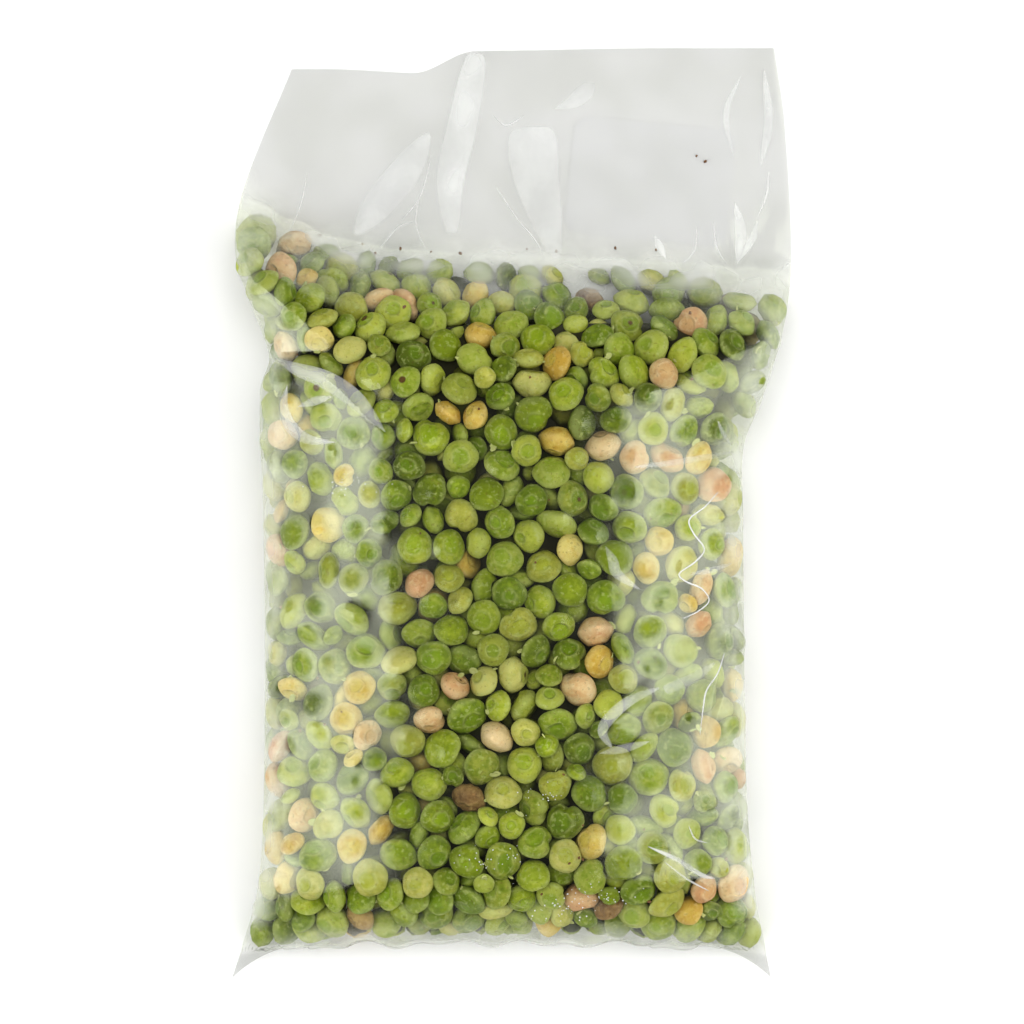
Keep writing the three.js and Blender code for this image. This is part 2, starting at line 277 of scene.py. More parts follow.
@dataclass(frozen=True)
class BagForm:
    """The smooth form of the bag: two films that meet round its outline.

    u runs from -1 at the left fold to 1 at the right one, and v from 0 at the bottom weld
    to 1 at the top edge.
    """

    length: float = 252.0
    pillow_top: float = 25.0
    top_step: float = 6.0
    bottom_bow: float = 10.8
    side_fold_height: float = 15.0
    flat_base: float = 1.12
    top_roundness: float = 2.4
    base_roundness: float = 4.0
    fill_start: float = -113.8
    fill_line: float = 66.0
    fill_slope: float = 3.0
    fill_corner: float = 16.0
    bottom_end: float = 24.0
    upper_end: float = 38.0
    tent_height: float = 7.0
    tent_length: float = 20.0
    film_lift: float = 0.65
    film_gap: float = 0.12
    left_side: Stations = (
        (0, 75.6), (0.085, 69.2), (0.2, 67), (0.5, 67), (0.645, 68), (0.683, 65.6),
        (0.75, 71.3), (0.81, 74.6), (0.87, 72.6), (1, 59.7),
    )
    right_side: Stations = (
        (0, 70), (0.085, 65.9), (0.2, 63.4), (0.5, 62.4), (0.572, 62.6), (0.62, 67.4),
        (0.7, 73.4), (0.77, 75.6), (0.92, 73.8), (1, 71),
    )

    @classmethod
    def in_box(cls, low: Vector, high: Vector) -> "BagForm":
        """Takes the bag's height from its solid in the frame.

        Args:
            low: The solid's lowest corner, in metres.
            high: Its highest corner.

        Returns:
            The form that fills that box.
        """
        plain = cls()
        height = (high[2] - low[2]) / MM
        return cls(pillow_top=height - plain.side_fold_height)

    def bottom_edge(self, u: np.ndarray) -> np.ndarray:
        """The y of the bottom weld."""
        return -self.length / 2 + self.bottom_bow * (1 - np.abs(u) ** 7)

    def top_edge(self, u: np.ndarray) -> np.ndarray:
        """The y of the top edge, with its step on the left."""
        step = self.top_step * (1 - smooth_step(u, -0.5, -0.24))
        return self.length / 2 - step - 1.2 * smooth_step(u, -0.86, -0.4) + 0.9 * smooth_step(u, -0.4, 0.6)

    def fill_start_at(self, u: np.ndarray) -> np.ndarray:
        """The y of the lowest peas."""
        return self.fill_start - 4.5 * np.abs(u) ** 3

    def fill_line_at(self, u: np.ndarray) -> np.ndarray:
        """The y where the peas end and the empty film starts."""
        return self.fill_line - self.fill_slope * u + self.fill_corner * np.maximum(0, -u) ** 4

    def upper_end_at(self, u: np.ndarray) -> np.ndarray:
        """The length over which the peas thin out towards the empty film."""
        return self.upper_end * (1 - 0.45 * np.abs(u) ** 3)

    def on_plan(self, u: np.ndarray, v: np.ndarray) -> tuple[np.ndarray, np.ndarray]:
        """The x and y of a point of the film."""
        left = -through(self.left_side, v)
        right = through(self.right_side, v)
        low = self.bottom_edge(u)
        return left + (right - left) * (u + 1) / 2, low + (self.top_edge(u) - low) * v

    def from_plan(self, x: np.ndarray, y: np.ndarray) -> np.ndarray:
        """The u of a point on the plan, found by closing in on it."""
        u = np.clip(x / 72, -1.2, 1.2)
        for _ in range(3):
            inner = np.clip(u, -1, 1)
            low = self.bottom_edge(inner)
            v = np.clip((y - low) / (self.top_edge(inner) - low), 0, 1)
            left = -through(self.left_side, v)
            right = through(self.right_side, v)
            u = 2 * (x - left) / (right - left) - 1
        return u

    def fullness(self, u: np.ndarray, y: np.ndarray) -> np.ndarray:
        """How full the bag is along its length, from 0 where the peas end to 1."""
        from_bottom = np.clip((y - self.fill_start_at(u)) / self.bottom_end, 0, 1)
        from_top = np.clip((self.fill_line_at(u) - y) / self.upper_end_at(u), 0, 1)
        bottom = (1 - (1 - from_bottom) ** 2.2) ** (1 / 2.2)
        return bottom * np.sin(from_top * math.pi / 2) ** 0.6

    def section(self, u: np.ndarray, roundness: float) -> np.ndarray:
        """The shape of the bag's cross-section, 1 in the middle and 0 at the side folds."""
        return np.maximum(0, 1 - np.abs(u) ** roundness) ** (1 / roundness)

    def fold_height(self, u: np.ndarray, y: np.ndarray) -> np.ndarray:
        """The height at which the front and back films meet."""
        body = 1 - smooth_step(y - self.fill_line_at(u), -self.upper_end_at(u), 6)
        from_bottom = y - self.bottom_edge(u)
        ear = (1 - smooth_step(from_bottom, 2, 30)) * smooth_step(np.abs(u), 0.6, 1)
        end = 1 - 0.35 * (1 - smooth_step(from_bottom, 0, 18))
        full = self.side_fold_height * end * (1 - 0.72 * ear)
        return self.film_lift + (full - self.film_lift) * body

    def films(self, u: np.ndarray, v: np.ndarray) -> tuple[np.ndarray, ...]:
        """Both films before peas and creases shape them.

        Args:
            u: Place across the bag.
            v: Place along the bag.

        Returns:
            x, y, the front film's height and the back film's height.
        """
        x, y = self.on_plan(u, v)
        full = self.fullness(u, y)
        fold = self.fold_height(u, y)
        beyond = y - self.fill_line_at(u)
        edge = np.sqrt(np.maximum(0, 1 - u * u))
        dome = self.pillow_top * self.section(u, self.top_roundness) * full
        bowl = self.flat_base * self.section(u, self.base_roundness) * full
        run = np.maximum(0, beyond + 14) / self.tent_length
        tent = self.tent_height * np.exp(-(run**2)) * edge * smooth_step(beyond, -30, -8)
        floor = self.film_lift * smooth_step(beyond, -10, 6)
        back = np.maximum(floor, fold * (1 - bowl))
        gap = self.film_gap * np.minimum(1, edge * 3)
        return x, y, np.maximum(fold + dome, back + gap) + tent, back

    def level(self, points: np.ndarray) -> np.ndarray:
        """Under 1 inside the pillow and 1 on the film.

        Args:
            points: Rows of x, y, z.

        Returns:
            One number for each point.
        """
        x, y, z = points.T
        u = self.from_plan(x, y)
        across = np.clip(u, -1, 1)
        fold = self.fold_height(across, y)
        above = z > fold
        power = np.where(above, self.top_roundness, self.base_roundness)
        reach = np.where(above, self.pillow_top, self.flat_base * fold)
        reach = reach * np.maximum(0.06, self.fullness(across, y))
        beyond = np.maximum(0, np.maximum(y - self.fill_line_at(across), self.fill_start_at(across) - y))
        return (np.abs(u) ** power + (np.abs(z - fold) / reach) ** power) ** (1 / power) + beyond / 20

    def depth(self, points: np.ndarray) -> tuple[np.ndarray, np.ndarray]:
        """How deep points lie under the film, and the way out.

        Args:
            points: Rows of x, y, z.

        Returns:
            The depths, about true near the film, and unit vectors towards it.
        """
        step = 0.05
        level = self.level(points)
        slopes = [(self.level(points + step * axis) - level) / step for axis in np.eye(3)]
        out = np.stack(slopes, axis=1)
        steep = np.maximum(np.linalg.norm(out, axis=1), 1e-4)
        return (1 - level) / steep, out / steep[:, None]


# Peas


class PeaKind(Enum):
    """The kinds of pea in the bag, by colour."""

    BRIGHT = "bright_green_peas"
    GRASS = "grass_green_peas"
    DEEP = "deep_green_peas"
    PALE = "pale_green_peas"
    YELLOW = "yellow_peas"
    CREAM = "cream_peas"
    BROWN = "brown_peas"


GREEN_KINDS = (PeaKind.BRIGHT, PeaKind.GRASS, PeaKind.DEEP, PeaKind.PALE)

# Where the photograph shows peas that aren't green, seen from above
CREAM_PLACES = (
    (-61.3, 45), (-64, 65.3), (-36, 57.2), (-29.7, 57.2), (22.7, 18), (28.6, 12.7),
    (40.5, 13.2), (-26.5, -19.2), (23, -33), (18.4, -48.9), (-22.1, -57.2), (-39.4, -60.5),
    (-4.6, -61), (57.5, -115), (47.5, 60.5), (52.6, 8.1), (50, -31), (-61.6, 21.6),
    (-63.2, -10.8), (-62.6, -72.9), (56.7, -101.5), (-58.6, 76.4), (-16, -49.9), (51, -68.9),
)
YELLOW_PLACES = (
    (12.9, 22.7), (16.5, -7.6), (34.6, -13.5), (21, -86.4), (-32.4, -86.4), (-57.2, -48),
    (46.4, -108), (-15.4, 29.2), (-6.2, 24.8), (8.6, 35.4), (-7.5, 45.9), (-53.2, 48.6),
    (-59.4, 28), (-48.6, -2.7), (-42.1, -90.4), (-8.1, 61.6),
)
BROWN_PLACES = ((-11.3, -77.8), (19.2, 60.8), (24, -106), (-41.3, -109.4))
CORNER_PLACES = (
    (-70, 77.5), (-69.5, 69), (-63.5, 73), (-71, 61.5), (-65.5, 55), (-56.5, 70.5), (-67, 48),
    (71.5, 58), (70.5, 50), (64, 58), (67, 42), (62, 51),
)
NOTCHED_PLACES = ((-32.9, -2.2),)
CUP_PLACES = ((0, 32.9), (-24.5, 27), (28.6, 10.5))


@dataclass
class PeaHeap:
    """The peas, settled against each other and against the film.

    A pea is a flat round thing with a short axis, across which the film and its neighbours
    press it.
    """

    form: BagForm
    radius: float = 4.8
    radius_spread: float = 0.4
    small_radius: tuple[float, float] = (2.9, 4.1)
    small_share: float = 0.2
    flatness: tuple[float, float] = (0.54, 0.82)
    packing: float = 0.7
    rounds: int = 130
    seed: int = 4127
    kept_depth: float = 13.5
    middle: np.ndarray = field(init=False)
    axis: np.ndarray = field(init=False)
    wide: np.ndarray = field(init=False)
    thick: np.ndarray = field(init=False)
    placed: int = field(init=False, default=0)

    def __post_init__(self) -> None:
        """Drops the peas in and settles them."""
        rng = np.random.default_rng(self.seed)
        self.drop(rng)
        self.settle()

    def drop(self, rng: np.random.Generator) -> None:
        """Scatters peas in the pillow, those of known places first.

        Args:
            rng: The source of the scatter.
        """
        low, high = np.array((-78.0, -126.0, 0.0)), np.array((78.0, 84.0, 42.0))
        trial = rng.uniform(low, high, (200000, 3))
        share = np.mean(self.form.level(trial) < 1)
        volume = share * np.prod(high - low)
        mean_pea = 4 / 3 * math.pi * np.mean(self.sizes(rng, 4000) ** 3) * sum(self.flatness) / 2
        count = int(self.packing * volume / mean_pea)
        coloured = CREAM_PLACES + YELLOW_PLACES + BROWN_PLACES
        known = np.array(coloured + CORNER_PLACES + NOTCHED_PLACES + CUP_PLACES)
        self.placed = len(known)
        start = np.column_stack((known, np.full(len(known), 39.0)))
        for _ in range(12):
            depth, out = self.form.depth(start)
            start += out * (depth - 3.4)[:, None] * (0, 0, 1)
        loose = trial[self.form.level(trial) < 0.93][: count - self.placed]
        self.middle = np.vstack((start, loose))
        self.wide = self.sizes(rng, count)
        self.wide[: self.placed] = np.clip(self.wide[: self.placed], 4.3, 5.3)
        flat = rng.uniform(*self.flatness, count)
        self.thick = self.wide * flat
        self.axis = unit(rng.normal(size=(count, 3)))
        self.rng = rng
        logger.info("peas in the bag: %d in %.0f cubic centimetres", count, volume / 1000)

    def sizes(self, rng: np.random.Generator, count: int) -> np.ndarray:
        """Half widths of peas, of which most are full grown and some are small."""
        grown = np.clip(rng.normal(self.radius, self.radius_spread, count), 3.9, 5.7)
        small = rng.uniform(*self.small_radius, count)
        return np.where(rng.random(count) < self.small_share, small, grown)

    def reach(self, which: np.ndarray, way: np.ndarray) -> np.ndarray:
        """How far peas reach from their middle along unit vectors."""
        along = np.sum(self.axis[which] * way, axis=1) ** 2
        return 1 / np.sqrt(along / self.thick[which] ** 2 + (1 - along) / self.wide[which] ** 2)

    def neighbours(self) -> tuple[np.ndarray, np.ndarray]:
        """Pairs of peas that are close enough to touch soon."""
        limit = (2 * self.wide.max() + 1.5) ** 2
        first, second = [], []
        for start in range(0, len(self.middle), 256):
            block = self.middle[start : start + 256]
            gap = np.sum((block[:, None, :] - self.middle[None, :, :]) ** 2, axis=2)
            i, j = np.nonzero(gap < limit)
            later = j > i + start
            first.append(i[later] + start)
            second.append(j[later])
        return np.concatenate(first), np.concatenate(second)

    def settle(self) -> None:
        """Pushes overlapping peas apart and turns them flat against what presses them."""
        count = len(self.middle)
        free = np.ones(count)
        free[: self.placed] = 0.15
        for turn in range(self.rounds):
            if turn % 6 == 0:
                i, j = self.neighbours()
            gap = self.middle[i] - self.middle[j]
            apart = np.linalg.norm(gap, axis=1)
            way = gap / np.maximum(apart, 1e-6)[:, None]
            overlap = np.maximum(0, self.reach(i, way) + self.reach(j, way) - apart)
            share = free[i] / (free[i] + free[j])
            push = np.zeros_like(self.middle)
            twist = np.zeros_like(self.middle)
            for k in range(3):
                step = 0.75 * overlap * way[:, k]
                push[:, k] += np.bincount(i, step * share, count) - np.bincount(j, step * (1 - share), count)
            for own in (i, j):
                side = np.sign(np.sum(self.axis[own] * way, axis=1))
                for k in range(3):
                    twist[:, k] += np.bincount(own, 0.05 * overlap * side * way[:, k], count)
            self.middle += np.clip(push, -2.5, 2.5)
            self.hold_in(twist)
            self.axis = unit(self.axis + twist)

    def hold_in(self, twist: np.ndarray) -> None:
        """Keeps the peas under the film, and adds the film's turn to their twist."""
        every = np.arange(len(self.middle))
        depth, out = self.form.depth(self.middle)
        missing = np.where(depth < 9, np.maximum(0, self.reach(every, out) - depth), 0)
        self.middle -= out * np.minimum(missing, 3)[:, None]
        side = np.sign(np.sum(self.axis * out, axis=1))
        twist += (0.3 * np.minimum(missing, 1.5) * side)[:, None] * out
        along = np.tile((0.0, 1.0, 0.0), (len(self.middle), 1))
        up = np.tile((0.0, 0.0, 1.0), (len(self.middle), 1))
        reach = self.reach(every, along)
        across = np.clip(self.form.from_plan(self.middle[:, 0], self.middle[:, 1]), -1, 1)
        low = self.form.fill_start_at(across) + 0.85 * reach
        high = self.form.fill_line_at(across) - 0.6 * reach
        self.middle[:, 1] = np.clip(self.middle[:, 1], low, high)
        self.middle[:, 2] = np.maximum(self.middle[:, 2], self.reach(every, up))


# Made pea shapes


@dataclass(frozen=True)
class PeaShape:
    """One shape of pea, 1 wide and 1 thick from its middle, to be scaled to each pea.

    Its two faces are shallow dishes inside a raised ring, and its rim is more or less sharp.
    """

    seed: int
    dish: float = 0.16
    ring: float = 0.5
    rim: float = 0.62
    notch: float = 0.0
    wrinkle: float = 0.0
    around: int = 26
    ring_places: tuple[float, ...] = (0.2, 0.36, 0.48, 0.6, 0.74, 0.87, 0.96)

    def build(self, name: str) -> bpy.types.Object:
        """Makes the shape's mesh.

        Args:
            name: The object's name; the shapes are picked by its order.

        Returns:
            The object, with the distance from the short axis as an attribute.
        """
        rng = np.random.default_rng(self.seed)
        turns = np.arange(self.around) * 2 * math.pi / self.around
        phase = rng.uniform(0, 2 * math.pi, 8)
        faces: list[tuple[int, ...]] = []
        rows: list[np.ndarray] = []
        for side in (1, -1):
            places = self.ring_places if side == 1 else self.ring_places[::-1]
            if side == -1:
                rows.append(self.row(1.0, 1, turns, phase))
            rows += [self.row(place, side, turns, phase) for place in places]
        points = np.vstack([self.row(0.0, 1, turns[:1], phase), *rows, self.row(0.0, -1, turns[:1], phase)])
        last = len(points) - 1
        for j in range(len(rows) - 1):
            for i in range(self.around):
                k = (i + 1) % self.around
                a, b = 1 + j * self.around, 1 + (j + 1) * self.around
                faces.append((a + i, b + i, b + k, a + k))
        for i in range(self.around):
            k = (i + 1) % self.around
            faces.append((0, 1 + i, 1 + k))
            end = 1 + (len(rows) - 1) * self.around
            faces.append((last, end + k, end + i))
        made = mesh_object(name, points[:, :3] / MM, faces)
        store(made, "from_axis", points[:, 3])
        return made

    def row(self, place: float, side: int, turns: np.ndarray, phase: np.ndarray) -> np.ndarray:
        """One ring of points.

        Args:
            place: Its distance from the short axis.
            side: 1 on the upper face and -1 on the lower one.
            turns: The angle of each point.
            phase: Random angles that make this shape uneven.

        Returns:
            Rows of x, y, z and the distance from the short axis.
        """
        wave = 0.035 * np.sin(2 * turns + phase[0]) + 0.025 * np.sin(3 * turns + phase[1])
        wave = wave + 0.02 * np.sin(5 * turns + phase[5])
        cut = self.notch * np.exp(-((np.angle(np.exp(1j * (turns - phase[2]))) / 0.3) ** 2))
        out = place * (1 + wave) * (1 - cut * smooth_step(np.full(len(turns), place), 0.2, 0.8))
        away = np.abs(place - self.ring * (1 + 0.15 * np.sin(turns + phase[3])))
        inside = smooth_step(self.ring - place + 0.1 * np.sin(turns + phase[3]), -0.06, 0.16)
        ring = np.exp(-((away / 0.09) ** 2))
        height = (1 - place**2) ** self.rim - self.dish * inside + 0.22 * self.dish * ring
        height = height * (1 + 0.08 * place * np.sin(turns + phase[4 + (side < 0)]))
        fold = self.wrinkle * place * np.sin(7 * turns + 5 * place + phase[6]) * (1 - place**4)
        x, y = out * np.cos(turns), out * np.sin(turns)
        return np.column_stack((x, y, side * (height + fold), np.full(len(turns), place)))


def into_group(made: bpy.types.Object, group: bpy.types.Collection) -> None:
    """Moves an object out of the scene into a group that only the node tree uses."""
    bpy.context.scene.collection.objects.unlink(made)
    group.objects.link(made)


@dataclass
class Spread:
    """Many small things of one kind, each at its own place, size and turn."""

    places: np.ndarray
    stretch: np.ndarray
    axes: np.ndarray
    shape: np.ndarray

    def tree(self, group: bpy.types.Collection, finish: bpy.types.Material) -> bpy.types.NodeTree:
        """The Geometry Nodes that put one thing at every point.

        Args:
            group: The shapes to pick from.
            finish: Their material.

        Returns:
            The node tree.
        """
        tree = bpy.data.node_groups.new("things_at_points", "GeometryNodeTree")
        wiring = Wiring(tree)
        face = tree.interface
        face.new_socket("Geometry", in_out="INPUT", socket_type="NodeSocketGeometry")
        face.new_socket("Size", in_out="INPUT", socket_type="NodeSocketFloat")
        face.new_socket("Geometry", in_out="OUTPUT", socket_type="NodeSocketGeometry")
        source = wiring.node("NodeGroupInput")
        sink = wiring.node("NodeGroupOutput")

        def named(name: str, kind: str) -> bpy.types.NodeSocket:
            """Reads one of the points' attributes."""
            made = wiring.node("GeometryNodeInputNamedAttribute", {"data_type": kind}, Name=name)
            return made.outputs["Attribute"]

        settings = {"Separate_Children": True, "Reset_Children": True}
        pick = wiring.node("GeometryNodeCollectionInfo", Collection=group, **settings)
        stretch = named("stretch", "FLOAT_VECTOR")
        size = wiring.node("ShaderNodeVectorMath", {"operation": "SCALE"}, in_0=stretch)
        wiring.feed(size.inputs["Scale"], source.outputs["Size"])
        turn = wiring.node("FunctionNodeEulerToRotation", Euler=named("turn", "FLOAT_VECTOR"))
        spread = wiring.node(
            "GeometryNodeInstanceOnPoints",
            Points=source.outputs["Geometry"],
            Instance=pick.outputs[0],
            Pick_Instance=True,
            Instance_Index=named("shape", "INT"),
            Rotation=turn.outputs[0],
            Scale=size.outputs[0],
        )
        real = wiring.node("GeometryNodeRealizeInstances", Geometry=spread.outputs[0])
        dressed = wiring.node("GeometryNodeSetMaterial", Geometry=real.outputs[0], Material=finish)
        wiring.feed(sink.inputs[0], dressed.outputs[0])
        return tree

    def turns(self, rng: np.random.Generator) -> np.ndarray:
        """The Euler angles that lay the things on their axes, with a random spin."""
        angles = []
        for axis, spin in zip(self.axes, rng.uniform(0, 2 * math.pi, len(self.axes))):
            lay = Vector(axis).to_track_quat("Z", "Y").to_matrix() @ Matrix.Rotation(spin, 3, "Z")
            angles.append(tuple(lay.to_euler()))
        return np.array(angles)

    def build(
        self, name: str, group: bpy.types.Collection, finish: bpy.types.Material, rng: np.random.Generator
    ) -> bpy.types.Object:
        """Makes one plain mesh of all the things.

        Args:
            name: The piece's name.
            group: The shapes to pick from.
            finish: Their material.
            rng: The source of their tints and spins.

        Returns:
            The piece, with a tint for each thing as an attribute.
        """
        points = mesh_object("points", self.places, [])
        attribute = points.data.attributes.new("shape", "INT", "POINT")
        attribute.data.foreach_set("value", self.shape.astype(np.int32))
        store(points, "stretch", self.stretch * MM)
        store(points, "tint", rng.random(len(self.places)))
        store(points, "turn", self.turns(rng))
        modifier = points.modifiers.new("things", "NODES")
        modifier.node_group = self.tree(group, finish)
        for item in modifier.node_group.interface.items_tree:
            if item.name == "Size":
                modifier[item.identifier] = 1.0
        done = bpy.data.meshes.new_from_object(points.evaluated_get(bpy.context.evaluated_depsgraph_get()))
        bpy.data.objects.remove(points)
        piece = bpy.data.objects.new(name, done)
        bpy.context.scene.collection.objects.link(piece)
        done.shade_smooth()
        return piece


@dataclass
class PeaMaker:
    """Turns settled peas into one mesh for each kind of pea."""

    heap: PeaHeap
    form: BagForm
    fine_depth: float = 8.2
    cream_share: float = 0.035
    yellow_share: float = 0.035

    def __post_init__(self) -> None:
        """Sorts the peas that can be seen by kind."""
        self.depth, self.out = self.form.depth(self.heap.middle)
        self.seen = self.depth < self.heap.kept_depth
        self.kind = self.sort_kinds()

    def sort_kinds(self) -> np.ndarray:
        """Gives each pea a kind, as a number in the order of PeaKind."""
        rng = np.random.default_rng(self.heap.seed + 1)
        count = len(self.heap.middle)
        kinds = list(PeaKind)
        shares = (0.3, 0.32, 0.2, 0.18)
        sorted_kind = rng.choice(len(GREEN_KINDS), count, p=shares)
        draw = rng.random(count)
        aside = np.abs(self.heap.middle[:, 0]) > 36
        cream = self.cream_share * np.where(aside, 1.1, 0.3)
        yellow = self.yellow_share * np.where(aside, 1.5, 0.4)
        sorted_kind[draw < cream] = kinds.index(PeaKind.CREAM)
        sorted_kind[draw > 1 - yellow] = kinds.index(PeaKind.YELLOW)
        start = 0
        groups = (
            (PeaKind.CREAM, CREAM_PLACES),
            (PeaKind.YELLOW, YELLOW_PLACES),
            (PeaKind.BROWN, BROWN_PLACES),
        )
        for kind, places in groups:
            sorted_kind[start : start + len(places)] = kinds.index(kind)
            start += len(places)
        sorted_kind[start : self.heap.placed] = kinds.index(PeaKind.GRASS)
        return sorted_kind

    def shape_numbers(self, which: np.ndarray, rng: np.random.Generator) -> np.ndarray:
        """Picks a shape for each pea: fine where it shows, and its own for an odd pea."""
        fine = (self.depth[which] < self.fine_depth) & (self.heap.middle[which, 2] > 11)
        shape = rng.integers(0, 8, len(which)) + np.where(fine, 0, 8)
        cups = self.heap.placed - len(CUP_PLACES)
        notched = cups - len(NOTCHED_PLACES)
        shape[(which >= notched) & (which < cups)] = 16
        shape[(which >= cups) & (which < self.heap.placed)] = 17
        brown = self.kind[which] == list(PeaKind).index(PeaKind.BROWN)
        return np.where(brown, 18, shape)

    def shapes(self) -> bpy.types.Collection:
        """Builds the pea shapes, eight fine ones and then eight plain ones for where few see them."""
        group = bpy.data.collections.new("pea_shapes")
        for coarse in (False, True):
            for i in range(8):
                shape = PeaShape(
                    seed=60 + i,
                    dish=(0.2, 0.14, 0.0, 0.24, 0.1, 0.17, 0.05, 0.12)[i],
                    ring=(0.5, 0.42, 0.45, 0.56, 0.6, 0.38, 0.5, 0.48)[i],
                    rim=(0.62, 0.7, 0.52, 0.66, 0.75, 0.58, 0.5, 0.8)[i],
                    notch=(0.0, 0.0, 0.0, 0.3, 0.0, 0.0, 0.24, 0.0)[i],
                    around=12 if coarse else 24,
                    ring_places=(0.4, 0.75) if coarse else PeaShape.ring_places,
                )
                made = shape.build(f"pea_shape_{i + 8 * coarse:02d}")
                into_group(made, group)
        odd = (
            PeaShape(seed=81, dish=0.12, notch=0.85, around=40),
            PeaShape(seed=82, dish=0.55, ring=0.7, rim=0.6),
            PeaShape(seed=83, dish=0.0, rim=0.6, wrinkle=0.1, around=48),
        )
        for i, shape in enumerate(odd):
            into_group(shape.build(f"pea_shape_{16 + i}"), group)
        return group

    def build(
        self, kind: PeaKind, group: bpy.types.Collection, finish: bpy.types.Material
    ) -> bpy.types.Object:
        """Makes the mesh of all peas of one kind.

        Args:
            kind: Which peas.
            group: The pea shapes.
            finish: Their material.

        Returns:
            The finished piece.
        """
        which = np.nonzero(self.seen & (self.kind == list(PeaKind).index(kind)))[0]
        rng = np.random.default_rng(self.heap.seed + 10 + list(PeaKind).index(kind))
        wide, thick = self.heap.wide[which], self.heap.thick[which]
        lean = rng.uniform(0.92, 1.0, len(which))
        spread = Spread(
            places=self.heap.middle[which],
            stretch=np.column_stack((wide * lean, wide, thick)),
            axes=self.heap.axis[which],
            shape=self.shape_numbers(which, rng),
        )
        piece = spread.build(kind.value, group, finish, rng)
        # The depth under the film, which drives the painted shade of the peas.
        depth, _ = self.form.depth(vertices_of(piece))
        store(piece, "depth", np.clip(depth, 0, 30))
        return piece


# Film


@dataclass(frozen=True)
class Crease:
    """A flat sided fold that stands up in the front film along a path.

    Its ridge follows the path, and its two sides come down at even slopes, so that it thins
    out to a point at each end.
    """

    path: Stations
    left: float
    right: float
    height: float
    ends: tuple[float, float] = (0.3, 0.3)

    def lift(self, x: np.ndarray, y: np.ndarray) -> np.ndarray:
        """How far it lifts the film at each point of the plan.

        Args:
            x: The points' places across the bag.
            y: Their places along it.

        Returns:
            Heights in millimetres.
        """
        knots = np.array(self.path)
        steps = np.linspace(0, len(knots) - 1, 1 + 6 * (len(knots) - 1))
        order = np.arange(len(knots))
        fine = np.column_stack([through(tuple(zip(order, knots[:, k])), steps) for k in (0, 1)])
        best = np.full(x.shape, 1e9)
        along = np.zeros(x.shape)
        side = np.zeros(x.shape)
        for k in range(len(fine) - 1):
            start, way = fine[k], fine[k + 1] - fine[k]
            t = np.clip(((x - start[0]) * way[0] + (y - start[1]) * way[1]) / (way @ way), 0, 1)
            dx, dy = x - start[0] - t * way[0], y - start[1] - t * way[1]
            far = np.hypot(dx, dy)
            closer = far < best
            best = np.where(closer, far, best)
            along = np.where(closer, (k + t) / (len(fine) - 1), along)
            side = np.where(closer, way[0] * dy - way[1] * dx, side)
        thin = np.minimum(np.minimum(1, along / self.ends[0]), (1 - along) / self.ends[1])
        reach = np.where(side > 0, self.left, self.right)
        return self.height * np.maximum(0, thin - best / reach)


